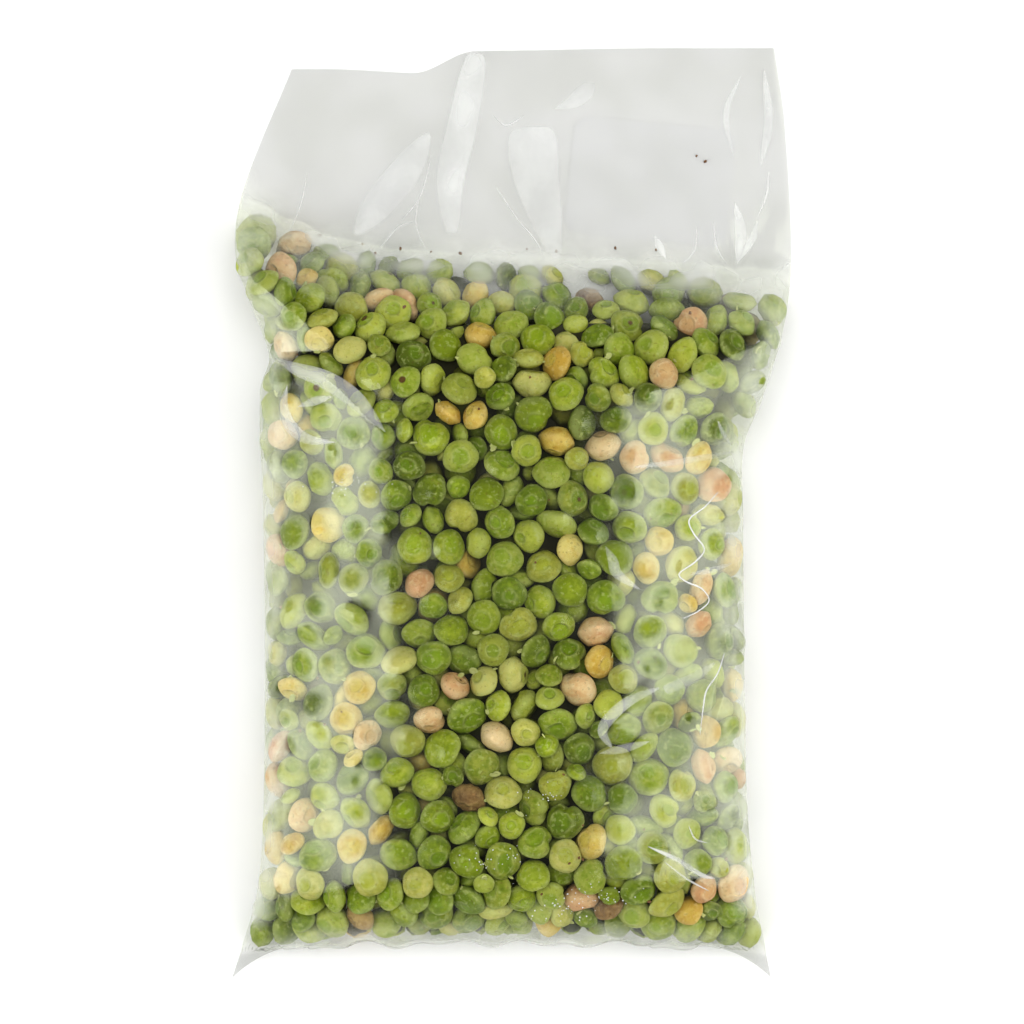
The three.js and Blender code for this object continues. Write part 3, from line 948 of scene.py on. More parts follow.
@dataclass
class Film:
    """The clear film: one closed skin over the peas, and flat where the bag is empty."""

    form: BagForm
    heap: PeaHeap
    front_columns: int = 216
    back_columns: int = 108
    rows: int = 297
    pull: float = 0.0022
    deepest: float = 6.0
    rounds: int = 420
    waviness: float = 0.22
    easing: int = 30
    creases: tuple[Crease, ...] = (
        Crease(((-13.5, 70), (-12.4, 88.3), (-9.2, 105.8), (-5.1, 126)), 8.5, 24, 1.1, (0.4, 0.01)),
        Crease(((12.4, 67), (13.5, 80), (14, 104)), 13.5, 20, 1.4, (0.55, 0.1)),
        Crease(((-29, 76), (-22.7, 87), (-22.1, 99)), 8, 16, 1.0, (0.45, 0.3)),
        Crease(((21.5, 106), (21.3, 116)), 9.5, 14, 1.0, (0.1, 0.9)),
        Crease(((60, 64), (58, 90), (53, 126)), 26, 11, 0.9, (0.3, 0.05)),
        Crease(((49, 65), (54, 72), (57, 84)), 1.6, 3, 0.5),
        Crease(((61, 63), (59.5, 72), (56, 82)), 1.8, 4, 0.6),
        Crease(((-36, 66), (-31, 78), (-22, 86)), 1.2, 2.5, 0.35),
        Crease(((-62, 42), (-50, 36), (-42, 29), (-34, 21)), 5, 5, 1.2, (0.2, 0.3)),
        Crease(((50.8, 6), (47.5, -1), (52, -10.5), (45.5, -16), (53, -23.5), (47, -28.6)), 2, 2, 0.35),
        Crease(((57, -38), (52.4, -52.7), (50.8, -61)), 3, 6, 0.9),
        Crease(((57, -38), (42, -49), (30, -55), (23.8, -58)), 2.2, 7, 0.9, (0.2, 0.2)),
        Crease(((36.2, -89), (45, -94), (53.2, -101)), 3, 6, 0.9),
    )

    def grid(self) -> tuple[np.ndarray, np.ndarray, np.ndarray]:
        """The u and v of the skin's points, and which of them are in front."""
        edge = math.pi / 2 * 0.97
        front = np.sin(edge * np.linspace(-1, 1, self.front_columns, endpoint=False)) / math.sin(edge)
        back = np.cos(math.pi * np.arange(self.back_columns) / self.back_columns)
        u, v = np.meshgrid(np.concatenate((front, back)), np.linspace(0, 1, self.rows))
        in_front = np.arange(u.shape[1]) < self.front_columns
        return u, v, np.broadcast_to(in_front, u.shape)

    def normals(self, points: np.ndarray) -> np.ndarray:
        """Outward directions of a skin of points."""
        across = np.roll(points, -1, axis=1) - np.roll(points, 1, axis=1)
        padded = np.concatenate((points[:1], points, points[-1:]))
        return unit(np.cross(across, padded[2:] - padded[:-2]))

    def room(self, points: np.ndarray, normals: np.ndarray) -> np.ndarray:
        """How far each point can go in before it meets a pea."""
        flat, inward = points.reshape(-1, 3), -normals.reshape(-1, 3)
        tree = KDTree(len(flat))
        for i, point in enumerate(flat):
            tree.insert(point, i)
        tree.balance()
        room = np.full(len(flat), self.deepest)
        depth, _ = self.form.depth(self.heap.middle)
        for k in np.nonzero(depth < 9)[0]:
            found = tree.find_range(self.heap.middle[k], self.heap.wide[k] + 4.5)
            near = np.array([item[1] for item in found], dtype=int)
            if not len(near):
                continue
            axis = self.heap.axis[k]
            gap, way = flat[near] - self.heap.middle[k], inward[near]
            scale = 1 / self.heap.thick[k] - 1 / self.heap.wide[k]
            gap = gap / self.heap.wide[k] + (gap @ axis * scale)[:, None] * axis
            way = way / self.heap.wide[k] + (way @ axis * scale)[:, None] * axis
            a, b, c = np.sum(way**2, axis=1), np.sum(gap * way, axis=1), np.sum(gap**2, axis=1) - 1
            inside = b**2 - a * c
            hit = (inside > 0) & (b < 0)
            reach = (-b - np.sqrt(np.maximum(inside, 0))) / a
            room[near] = np.where(hit, np.minimum(room[near], reach), room[near])
        return np.maximum(room, -1.5).reshape(points.shape[:2])

    def press(self, room: np.ndarray, hold: np.ndarray, above: np.ndarray) -> np.ndarray:
        """Draws the film in over the peas.

        Args:
            room: How far each point can go in.
            hold: 1 where the film is free and 0 where it is fixed.
            above: Whether each point is above the base, where peas may push it out.

        Returns:
            How far each point goes in.
        """
        dip = np.zeros_like(room)
        for _ in range(self.rounds):
            padded = np.concatenate((dip[:1], dip, dip[-1:]))
            mean = (np.roll(dip, 1, axis=1) + np.roll(dip, -1, axis=1) + padded[2:] + padded[:-2]) / 4
            dip = np.minimum(room, mean + self.pull)
            dip = dip * np.where(dip < 0, above, hold)
        return dip

    def build(self) -> bpy.types.Object:
        """Makes the film.

        Returns:
            The film's object, with the gap to the peas below it as an attribute.
        """
        u, v, in_front = self.grid()
        x, y, front, back = self.form.films(u, v)
        above = y - self.form.fill_line_at(u)
        points = np.stack((x, y, self.eased(np.where(in_front, front, back), above)), axis=2)
        normals = self.normals(points)
        full = self.form.section(u, self.form.top_roundness) * self.form.fullness(u, y)
        hold = np.where(points[..., 2] < 0.3, 0, smooth_step(full, 0.0, 0.12))
        room = self.room(points, normals)
        dip = self.press(room, hold, points[..., 2] > 0.3)
        lift = self.waviness * (
            np.sin(x / 7.3 + y / 23) * np.sin(y / 11.7 - x / 31) + np.sin(x / 13.1 - y / 17.9 + 1) + 1
        )
        for crease in self.creases:
            lift += np.where(in_front, crease.lift(x, y), 0)
        edge = np.minimum(1, np.sqrt(np.maximum(0, 1 - u * u)) * 3)
        lift = np.where(in_front, lift * edge, 0)
        points = points + normals * (lift - dip)[..., None]
        points[..., 1] += self.bottom_waves(u, x, y)
        piece = mesh_object("film", points.reshape(-1, 3), self.faces())
        self.sharpen_ends(piece)
        gap = np.clip(room - dip + lift, 0, 6)
        calm = smooth_step(above, -34, -22) * (1 - smooth_step(above, 0, 6)) * (1 - u**4)
        shine = (1 - 0.88 * (1 - smooth_step(y - self.form.fill_start_at(u), 5, 23))) * (1 - 0.92 * calm)
        cloudy = smooth_step(self.clouds(points, 16.0), 0.3, 0.7)
        store(piece, "shine", (shine * (0.75 * cloudy + 0.45)).ravel())
        store(piece, "mist", 0.55 * smooth_step(self.clouds(points, 8.0), 0.45, 0.62).ravel())
        store(piece, "air_gap", gap.ravel())
        ears = smooth_step(self.form.fill_start_at(u) - y, -1, 3)
        header = smooth_step(y - self.form.fill_line_at(u), 0, 8)
        store(piece, "slack", np.maximum(header, ears).ravel())
        store(piece, "layers", np.maximum(0.6 * header, ears).ravel())
        patchy = smooth_step(self.clouds(points, 9.0), 0.2, 0.8)
        store(piece, "frost", (self.frost(u, y) * patchy).ravel())
        return piece

    def clouds(self, points: np.ndarray, size: float) -> np.ndarray:
        """Soft noise from 0 to 1 on the skin's points, with features of about this many millimetres."""
        rows = (points.reshape(-1, 3) / size).tolist()
        values = [noise.noise(row) + 0.5 * noise.noise((2 * row[0], 2 * row[1], 2 * row[2])) for row in rows]
        return 0.5 + np.array(values).reshape(points.shape[:2]) / 3

    def eased(self, height: np.ndarray, above: np.ndarray) -> np.ndarray:
        """Rounds the shoulder that the films make where the peas end.

        Args:
            height: The films' heights.
            above: How far each point lies above the fill line.

        Returns:
            The heights, without a sharp bend.
        """
        near = smooth_step(above, -14, -6) * (1 - smooth_step(above, 8, 16))
        for _ in range(self.easing):
            padded = np.concatenate((height[:1], height, height[-1:]))
            height = height + near * ((padded[2:] + padded[:-2]) / 4 - height / 2)
        return height

    def bottom_waves(self, u: np.ndarray, x: np.ndarray, y: np.ndarray) -> np.ndarray:
        """How far the lowest peas push the bottom end out and let it in, between the ears."""
        near = 1 - smooth_step(y - self.form.bottom_edge(u), 0, 9)
        wave = 0.55 * np.sin(x / 2.1 + 1) + 0.5 * np.sin(x / 3.7) + 0.4 * np.sin(x / 8.3 + 2) - 1.2
        return near * wave * (1 - smooth_step(np.abs(u), 0.6, 0.9))

    def frost(self, u: np.ndarray, y: np.ndarray) -> np.ndarray:
        """Where the film is milky: over the first peas, at the bottom end and along the folds."""
        above = y - self.form.fill_line_at(u)
        top = np.exp(-((above / np.where(above < 0, 6.5, 5.5)) ** 2))
        bottom = 1 - smooth_step(y - self.form.fill_start_at(u), -1, 6)
        bottom = bottom * (1 - 0.8 * smooth_step(np.abs(u), 0.75, 0.95))
        side = smooth_step(np.abs(u), 0.86, 1.0) * (1 - smooth_step(above, 0, 8))
        side = side * smooth_step(y - self.form.fill_start_at(u), 0, 12)
        corner = smooth_step(np.abs(u), 0.78, 0.95) * smooth_step(above, -16, -4)
        corner = corner * (1 - smooth_step(above, 0, 6))
        return np.clip(np.max((top, bottom, 0.85 * side, 0.4 * corner), axis=0), 0, 1)

    def sharpen_ends(self, piece: bpy.types.Object) -> None:
        """Keeps the shading of the films apart from that of the narrow faces at both ends."""
        around = self.front_columns + self.back_columns
        edges = np.empty(2 * len(piece.data.edges), dtype=np.int64)
        piece.data.edges.foreach_get("vertices", edges)
        rows = edges.reshape(-1, 2) // around
        at_end = (rows == 0).all(axis=1) | (rows == self.rows - 1).all(axis=1)
        attribute = piece.data.attributes.new("sharp_edge", "BOOLEAN", "EDGE")
        attribute.data.foreach_set("value", at_end)

    def faces(self) -> list[tuple[int, ...]]:
        """The faces of the skin, with a strip that closes each end."""
        around = self.front_columns + self.back_columns
        index = np.arange(self.rows * around).reshape(self.rows, around)
        faces = band_faces(index)
        for row, flip in ((index[0], True), (index[-1], False)):
            faces += self.end_strip(row.tolist(), flip)
        return faces

    def end_strip(self, row: list[int], flip: bool) -> list[tuple[int, ...]]:
        """The narrow faces between the front and back films at one end.

        Args:
            row: The end row's vertices.
            flip: Whether the strip faces down the bag.

        Returns:
            Its faces.
        """
        half = self.front_columns
        front = row[:half] + [row[half]]
        back = ([row[half]] + row[half + 1 :] + [row[0]])[::-1]
        strip = []
        for k in range(self.back_columns):
            a, b, c = front[2 * k], front[2 * k + 1], front[2 * k + 2]
            d, e = back[k], back[k + 1]
            strip += [(a, b, d), (b, e, d), (b, c, e)]
        strip = [face for face in strip if len(set(face)) == 3]
        return [face[::-1] for face in strip] if flip else strip


@dataclass(frozen=True)
class Pleat:
    """A fold of film, doubled over, that lies on the front film along a path, partly milky by the fold itself
    and partly a painted highlight.
    """

    path: Stations
    width: float
    height: float
    milk_and_highlight: float
    blunt: float = 0.5
    widest: float = 1.0

    def rows(self) -> tuple[np.ndarray, np.ndarray]:
        """Places along the fold, and the sideways vector to its edge at each of them."""
        knots = np.array(self.path)
        length = np.sum(np.linalg.norm(np.diff(knots, axis=0), axis=1))
        steps = np.linspace(0, len(knots) - 1, max(12, int(length / 0.7)))
        order = np.arange(len(knots))
        line = np.column_stack([through(tuple(zip(order, knots[:, k])), steps) for k in (0, 1)])
        way = unit(np.gradient(line, axis=0))
        share = np.linspace(0, 1, len(line))
        half = self.width / 2 * np.maximum(0.03, np.sin(math.pi * share**self.widest)) ** self.blunt
        return line, np.column_stack((-way[:, 1], way[:, 0])) * half[:, None]


@dataclass
class Pleats:
    """All the folds that lie on the front film, as one piece, whose white is partly their own milkiness and
    partly painted highlight.
    """

    film: bpy.types.Object
    across: tuple[float, ...] = (-1, -0.95, -0.6, -0.2, 0.2, 0.6, 0.95, 1)
    pleats: tuple[Pleat, ...] = (
        # The bright wavy crease at the right, and those below it, bright partly by painted highlight
        Pleat(
            ((55.4, 5.3), (52, 1.5), (47.7, -2), (48.8, -5.7), (51.7, -9.9), (49.4, -13.3), (45, -16.5),
             (46.6, -18.6), (51, -20.6), (53, -23.8), (50.2, -26.6), (46, -28.6)),
            0.48, 0.25, 0.78, 0.3,
        ),
        Pleat(((57.2, -37.9), (55.4, -43.3), (52.4, -47.8), (51.5, -52), (50.5, -60)), 0.55, 0.25, 0.72),
        Pleat(((54.5, -40.6), (49, -44.5), (42, -47.5), (41, -48)), 3.0, 0.3, 0.16),
        Pleat(((36.5, -89.8), (44, -93.2), (50.8, -97.5), (54.5, -98.6)), 1.4, 0.2, 0.34),
        Pleat(((41, -94), (47, -98.6), (53, -102)), 0.6, 0.2, 0.36),
        Pleat(((47.5, -84.3), (49.2, -87.8), (52.5, -89)), 0.5, 0.2, 0.5),
        Pleat(((59.8, 16.2), (48, 14), (33, 12)), 1.8, 0.25, 0.15),
        Pleat(((59.2, 17.8), (57, 21), (55.4, 24.5)), 1.2, 0.25, 0.15),
        Pleat(((59.1, -13.9), (54, -15.5), (48, -16.8)), 1.6, 0.25, 0.15),
        # The two broad folds at the upper left
        Pleat(
            ((-64, 41.5), (-58, 38.5), (-50, 35.5), (-43, 31), (-38.5, 26.5), (-34, 21.5)),
            5.2, 0.5, 0.27, 0.8,
        ),
        Pleat(((-48.5, 31), (-53, 29.8), (-57.5, 28.3)), 2.4, 0.3, 0.25, 0.8),
        Pleat(((-60.5, 34), (-61.5, 28), (-59, 22.5), (-54.5, 19.5), (-47.5, 18.7)), 3.4, 0.5, 0.25, 0.7),
        # Soft smears where the right side's reflection ends
        Pleat(
            ((39.4, -47.3), (31.9, -50.5), (26.7, -54.8), (24.3, -58.9), (26.7, -63.2)),
            3.2, 0.2, 0.24, 0.5,
        ),
        Pleat(((25.1, -9.2), (27, -13), (28.4, -16.7), (34.6, -21)), 3.0, 0.2, 0.16, 0.8),
        Pleat(((23.5, -64.8), (30, -63.5), (37, -61.6)), 2.4, 0.2, 0.16, 0.8),
        # Flat facets of the empty film, bright by painted highlight
        Pleat(((-9.5, 124.5), (-13.5, 104.5), (-16.7, 89.6), (-16.2, 75.6)), 8.2, 0.1, 0.26, 0.3, 0.7),
        Pleat(((-22.5, 102.5), (-28.5, 93), (-36, 83.5), (-42.5, 75.2)), 9.0, 0.1, 0.22, 0.55),
        Pleat(((5.4, 104.5), (6.2, 93), (8.9, 81), (12.2, 68.5)), 13.5, 0.1, 0.22, 0.5, 0.42),
        Pleat(((22.3, 116.2), (17, 111.5), (11.5, 109.4)), 4.8, 0.1, 0.2, 1.0, 0.6),
        Pleat(((68.3, 120), (69.5, 106), (67.5, 94)), 2.6, 0.1, 0.24, 0.7),
        Pleat(((60.4, 84), (62, 75.5), (60.8, 66.5)), 3.4, 0.1, 0.3, 1.0),
        Pleat(((66.5, 79), (65, 74), (60.8, 67)), 2.2, 0.1, 0.3, 1.0),
        Pleat(((38.5, 75), (40, 72), (41.6, 68.6)), 2.2, 0.1, 0.4, 1.0),
        Pleat(((62, 118), (58, 108), (60, 96)), 1.8, 0.1, 0.16, 0.8),
        # Fine creases in the empty film
        Pleat(((-5.2, 107.5), (-2, 104.8), (0.5, 105.6), (3.2, 107.5)), 0.45, 0.3, 0.3),
        Pleat(((-4.5, 88.5), (1, 80), (6, 74), (9, 68.5)), 0.5, 0.3, 0.35),
        Pleat(((58, 67), (55.4, 72), (54.5, 78.8)), 0.6, 0.3, 0.35),
        Pleat(((66.8, 80.5), (69, 86), (69.6, 92)), 0.7, 0.3, 0.35),
        Pleat(((-30, 78.8), (-24.8, 85.7), (-21.9, 96)), 0.5, 0.3, 0.35),
        Pleat(((-36, 71), (-31, 77), (-27, 78.5)), 0.5, 0.3, 0.3),
        Pleat(((-23, 70), (-26, 78), (-25, 86)), 0.5, 0.3, 0.28),
        Pleat(((46, 67), (49.5, 71), (50, 77)), 0.6, 0.3, 0.35),
        Pleat(((-60, 76), (-57, 84), (-55.5, 92)), 0.5, 0.3, 0.2),
    )

    def build(self) -> bpy.types.Object:
        """Makes the folds.

        Returns:
            One object, with how milky each fold is, its own milkiness and painted highlight together, as an
            attribute.
        """
        skin = [tuple(p.vertices) for p in self.film.data.polygons]
        self.surface = BVHTree.FromPolygons([tuple(v) for v in vertices_of(self.film)], skin)
        points: list[np.ndarray] = []
        faces: list[tuple[int, ...]] = []
        milk_and_highlight: list[np.ndarray] = []
        for pleat in self.pleats:
            ring = self.rings(pleat)
            start = sum(len(block) for block in points)
            count, around = ring.shape[:2]
            index = start + np.arange(count * around).reshape(count, around)
            faces += band_faces(index)
            faces += [tuple(index[0].tolist()[::-1]), tuple(index[-1].tolist())]
            points.append(ring.reshape(-1, 3))
            across = np.abs(np.array(self.across))
            soft = np.concatenate((across[::-1], across))
            milk_and_highlight.append(np.tile(pleat.milk_and_highlight * (1 - 0.45 * soft**2), count))
        made = mesh_object("film_pleats", np.vstack(points), faces)
        store(made, "milk_and_highlight", np.concatenate(milk_and_highlight))
        return made

    def rings(self, pleat: Pleat) -> np.ndarray:
        """The rings of points round one fold, which follow the film below it."""
        line, side = pleat.rows()
        share = np.array(self.across)
        rings = []
        for place, reach in zip(line, side):
            flat = place + share[:, None] * reach
            base = np.array([self.height_at(x, y) for x, y in flat])
            upper = base + 0.06 + pleat.height * (1 - share**2) * min(1, 4 * np.linalg.norm(reach))
            top = np.column_stack((flat, upper))[::-1]
            under = np.column_stack((flat, base - 0.12))
            rings.append(np.vstack((top, under)))
        return np.array(rings)

    def height_at(self, x: float, y: float) -> float:
        """The height of the front film above a point of the plan."""
        hit = self.surface.ray_cast(Vector((x, y, 200)), Vector((0, 0, -1)))[0]
        return hit.z if hit else 1.0


@dataclass
class SmallThings:
    """Scraps of pea skin, brown crumbs and grains of ice between the peas and the film."""

    heap: PeaHeap
    form: BagForm
    pleats: Pleats
    skins: int = 120
    crumbs: int = 26
    grains: int = 150
    crumb_places: Stations = (
        (-40.5, 72.6), (-30.2, 71.3), (-21.9, 70.5), (-37, 70), (-14, 70), (52.4, 95), (50, 96.5),
        (12, 70.6), (4, 71.2), (-52, 75), (39, 71), (28, 71.5),
    )
    grain_places: Stations = ((7, -76.4), (23, -102.9), (-43.2, 7), (14, -107), (-5, -93))

    def group(self, name: str, shapes: tuple["PeaShape", ...]) -> bpy.types.Collection:
        """Builds a few shapes to pick from."""
        group = bpy.data.collections.new(name)
        for i, shape in enumerate(shapes):
            into_group(shape.build(f"{name}_{i}"), group)
        return group

    def skin_scraps(self, finish: bpy.types.Material) -> bpy.types.Object:
        """Thin curled scraps at the rims of peas that lie near the film.

        Args:
            finish: Their material.

        Returns:
            The piece.
        """
        rng = np.random.default_rng(self.heap.seed + 31)
        depth, out = self.form.depth(self.heap.middle)
        near = np.nonzero((depth < 5.5) & (self.heap.middle[:, 2] > 14))[0]
        own = rng.choice(near, self.skins)
        aside = unit(np.cross(out[own], rng.normal(size=(self.skins, 3))))
        reach = self.heap.reach(own, aside)
        places = self.heap.middle[own] + aside * (reach * rng.uniform(0.85, 1.02, self.skins))[:, None]
        places += out[own] * rng.uniform(0.4, 1.8, self.skins)[:, None]
        wide = rng.uniform(0.7, 1.6, self.skins)
        stretch = np.column_stack((wide, wide * rng.uniform(0.35, 0.8, self.skins), wide * 0.3))
        axes = unit(out[own] + 0.8 * rng.normal(size=(self.skins, 3)))
        shapes = tuple(
            PeaShape(seed=90 + i, dish=0.9, ring=0.8, rim=0.4, notch=0.5, around=12) for i in range(3)
        )
        plain = tuple(replace(shape, ring_places=(0.45, 0.85)) for shape in shapes)
        spread = Spread(places, stretch, axes, rng.integers(0, 3, self.skins))
        return spread.build("pea_skin_scraps", self.group("scrap_shapes", plain), finish, rng)

    def brown_crumbs(self, finish: bpy.types.Material) -> bpy.types.Object:
        """Brown crumbs above the peas, where the picture shows them, and a few among them."""
        rng = np.random.default_rng(self.heap.seed + 32)
        low, high = (-58, -108), (58, 62)
        flat = np.vstack((self.crumb_places, rng.uniform(low, high, (self.crumbs, 2))))
        places = np.array([(x, y, self.pleats.height_at(x, y) - 0.75) for x, y in flat])
        wide = rng.uniform(0.3, 0.7, len(flat))
        stretch = np.column_stack((wide, wide * 0.8, wide * 0.6))
        shapes = tuple(
            PeaShape(seed=70 + i, dish=0, notch=0.4, around=8, ring_places=(0.6,)) for i in range(3)
        )
        axes = unit(rng.normal(size=(len(flat), 3)))
        spread = Spread(places, stretch, axes, rng.integers(0, 3, len(flat)))
        return spread.build("brown_crumbs", self.group("crumb_shapes", shapes), finish, rng)

    def ice_grains(self, finish: bpy.types.Material) -> bpy.types.Object:
        """Clusters of ice grains under the film."""
        rng = np.random.default_rng(self.heap.seed + 33)
        own = rng.integers(0, len(self.grain_places), self.grains)
        flat = np.array(self.grain_places)[own] + rng.normal(0, 1, (self.grains, 2)) * (4.2, 1.8)
        places = np.array([(x, y, self.pleats.height_at(x, y) - 0.35) for x, y in flat])
        wide = rng.uniform(0.1, 0.24, self.grains)
        stretch = np.column_stack((wide, wide, wide))
        shapes = (PeaShape(seed=75, dish=0, around=6, ring_places=(0.7,)),)
        axes = unit(rng.normal(size=(self.grains, 3)))
        spread = Spread(places, stretch, axes, np.zeros(self.grains))
        return spread.build("ice_grains", self.group("ice_shapes", shapes), finish, rng)


# The dark middle of the heap, painted shade in place of the shaded peas deep inside


@dataclass
class HeapShadeCore:
    """A dark body inside the heap, behind the peas that show: painted shade that stands in for the shaded
    peas deeper in.
    """

    form: BagForm
    cover: float = 9.5
    columns: int = 48
    rows: int = 60

    def build(self) -> bpy.types.Object:
        """Makes the core as a closed skin.

        Returns:
            The core's object.
        """
        around = np.arange(self.columns) * 2 * math.pi / self.columns
        v = np.linspace(0.09, 0.69, self.rows)
        u, v = np.meshgrid(0.84 * np.cos(around), v)
        x, y, front, back = self.form.films(u, v)
        upper = np.broadcast_to(np.sin(around) >= 0, u.shape)
        top = np.maximum(front - self.cover, back + 4.2)
        z = np.where(upper, top, back + 3.4)
        points = np.stack((x, y, z), axis=2).reshape(-1, 3)
        index = np.arange(u.size).reshape(u.shape)
        faces = band_faces(index, flip=True)
        faces += [tuple(index[0].tolist()), tuple(index[-1].tolist()[::-1])]
        return mesh_object("heap_core", points, faces)


# Finishes


def new_material(name: str) -> tuple[bpy.types.Material, Wiring]:
    """A new material, and the wiring of its nodes."""
    made = bpy.data.materials.new(name)
    made.use_nodes = True
    return made, Wiring(made.node_tree)


def pea_face_group() -> bpy.types.NodeTree:
    """The marks on the flat faces of a pea, shared by all kinds.

    Returns:
        A node group that turns the distance from a pea's short axis and its tint into masks
        for its heart, the ring round that, its rim and a brown pit, and into a relief.
    """
    found = bpy.data.node_groups.get("pea_face")
    if found:
        return found
    tree = bpy.data.node_groups.new("pea_face", "ShaderNodeTree")
    wiring = Wiring(tree)
    for name, kind in (("From Axis", "Float"), ("Tint", "Float"), ("Place", "Vector")):
        tree.interface.new_socket(name, in_out="INPUT", socket_type=f"NodeSocket{kind}")
    for name in ("Heart", "Ring", "Rim", "Pit", "Relief"):
        tree.interface.new_socket(name, in_out="OUTPUT", socket_type="NodeSocketFloat")
    source = wiring.node("NodeGroupInput")
    tint, place = source.outputs["Tint"], source.outputs["Place"]

    def chance(factor: float) -> bpy.types.NodeSocket:
        """Another random number for each pea, made from its tint."""
        return wiring.maths("FRACT", wiring.maths("MULTIPLY", tint, factor))

    wobble = wiring.maths("MULTIPLY_ADD", wiring.noise(place, 4.0, 0), 0.3, -0.15)
    away = wiring.maths("ADD", source.outputs["From Axis"], wobble)
    size = wiring.maths("MULTIPLY_ADD", chance(7.3), 0.22, 0.36)
    faced = wiring.step(chance(13.7), 0.2, 0.3)
    inside = wiring.maths("SUBTRACT", size, away)
    heart = wiring.maths("MULTIPLY", wiring.step(inside, -0.04, 0.12), faced)
    near = wiring.step(wiring.maths("ABSOLUTE", inside), 0.17, 0.0)
    broken = wiring.step(wiring.noise(place, 3.3, 0), 0.36, 0.52)
    ring = wiring.maths("MULTIPLY", wiring.maths("MULTIPLY", near, faced), broken)
    rim = wiring.step(away, 0.8, 1.02)
    spot = wiring.step(away, 0.2, 0.08)
    pit = wiring.maths("MULTIPLY", spot, wiring.step(chance(31.7), 0.972, 0.98))
    raised = wiring.maths("MULTIPLY", ring, 0.6)
    relief = wiring.maths("SUBTRACT", raised, wiring.maths("MULTIPLY", heart, 0.5))
    relief = wiring.maths("SUBTRACT", relief, pit)
    sink = wiring.node("NodeGroupOutput")
    for name, value in (("Heart", heart), ("Ring", ring), ("Rim", rim), ("Pit", pit), ("Relief", relief)):
        wiring.feed(sink.inputs[name], value)
    return tree


@dataclass(frozen=True)
class PeaFinish:
    """The skin of one kind of pea."""

    name: str
    dark: tuple[int, int, int]
    middle: tuple[int, int, int]
    light: tuple[int, int, int]
    heart: tuple[int, int, int]
    # The pale colour of rims and scuffs, also used for the painted highlight on the ring.
    rim: tuple[int, int, int] = (186, 196, 118)
    # The colour of the painted shade that peas take deep in the heap.
    shade: tuple[int, int, int] = (38, 38, 18)

    def build(self) -> bpy.types.Material:
        """Makes the material.

        Returns:
            The pea skin, with painted shade that darkens it where it lies deep in the heap.
        """
        made, wiring = new_material(self.name)
        place, tint = wiring.place(), wiring.attribute("tint")
        face = wiring.node("ShaderNodeGroup", {"node_tree": pea_face_group()}, Tint=tint, Place=place)
        wiring.feed(face.inputs["From Axis"], wiring.attribute("from_axis"))
        patch = wiring.noise(place, 3.2, 2)
        shift = wiring.maths("ADD", tint, wiring.maths("MULTIPLY_ADD", patch, 1.3, -0.65))
        fine = wiring.maths("MULTIPLY_ADD", wiring.noise(place, 1.1, 1), 0.8, -0.4)
        shift = wiring.maths("ADD", shift, fine)
        tones = [(0.05, linear(*self.dark)), (0.5, linear(*self.middle)), (0.95, linear(*self.light))]
        skin = wiring.ramp(shift, tones)
        skin = wiring.blend(wiring.maths("MULTIPLY", face.outputs["Heart"], 0.55), skin, linear(*self.heart))
        # The ring round the heart is paler: a painted highlight where light catches its ridge.
        skin = wiring.blend(wiring.maths("MULTIPLY", face.outputs["Ring"], 0.3), skin, linear(*self.rim))
        scuffs = wiring.step(wiring.noise(place, 1.3, 2), 0.55, 0.68)
        pale = wiring.maths("MULTIPLY_ADD", scuffs, 0.4, wiring.maths("MULTIPLY", face.outputs["Rim"], 0.34))
        skin = wiring.blend(pale, skin, linear(*self.rim))
        specks = wiring.step(wiring.noise(place, 0.8, 0), 0.7, 0.76)
        brown = wiring.maths("MAXIMUM", wiring.maths("MULTIPLY", specks, 0.3), face.outputs["Pit"])
        skin = wiring.blend(brown, skin, linear(92, 66, 30))
        # Painted shade: the skin darkens towards the shade colour the deeper it lies under the film.
        painted_depth_shade = wiring.step(wiring.attribute("depth"), 2.8, 10.0)
        skin = wiring.blend(wiring.maths("MULTIPLY", painted_depth_shade, 0.9), skin, linear(*self.shade))
        grain = wiring.noise(place, 0.7, 1)
        relief = wiring.maths("MULTIPLY_ADD", grain, 0.35, face.outputs["Relief"])
        relief = wiring.maths("MULTIPLY_ADD", wiring.noise(place, 2.6, 1), 1.4, relief)
        bump = wiring.node("ShaderNodeBump", Strength=0.85, Distance=0.45 * MM, Height=relief)
        rough = wiring.maths("MULTIPLY_ADD", grain, 0.2, 0.5)
        shader = wiring.node(
            "ShaderNodeBsdfPrincipled", Base_Color=skin, Roughness=rough, Normal=bump.outputs[0]
        )
        shader.inputs["Specular IOR Level"].default_value = 0.18
        wiring.node("ShaderNodeOutputMaterial", Surface=shader.outputs[0])
        return made


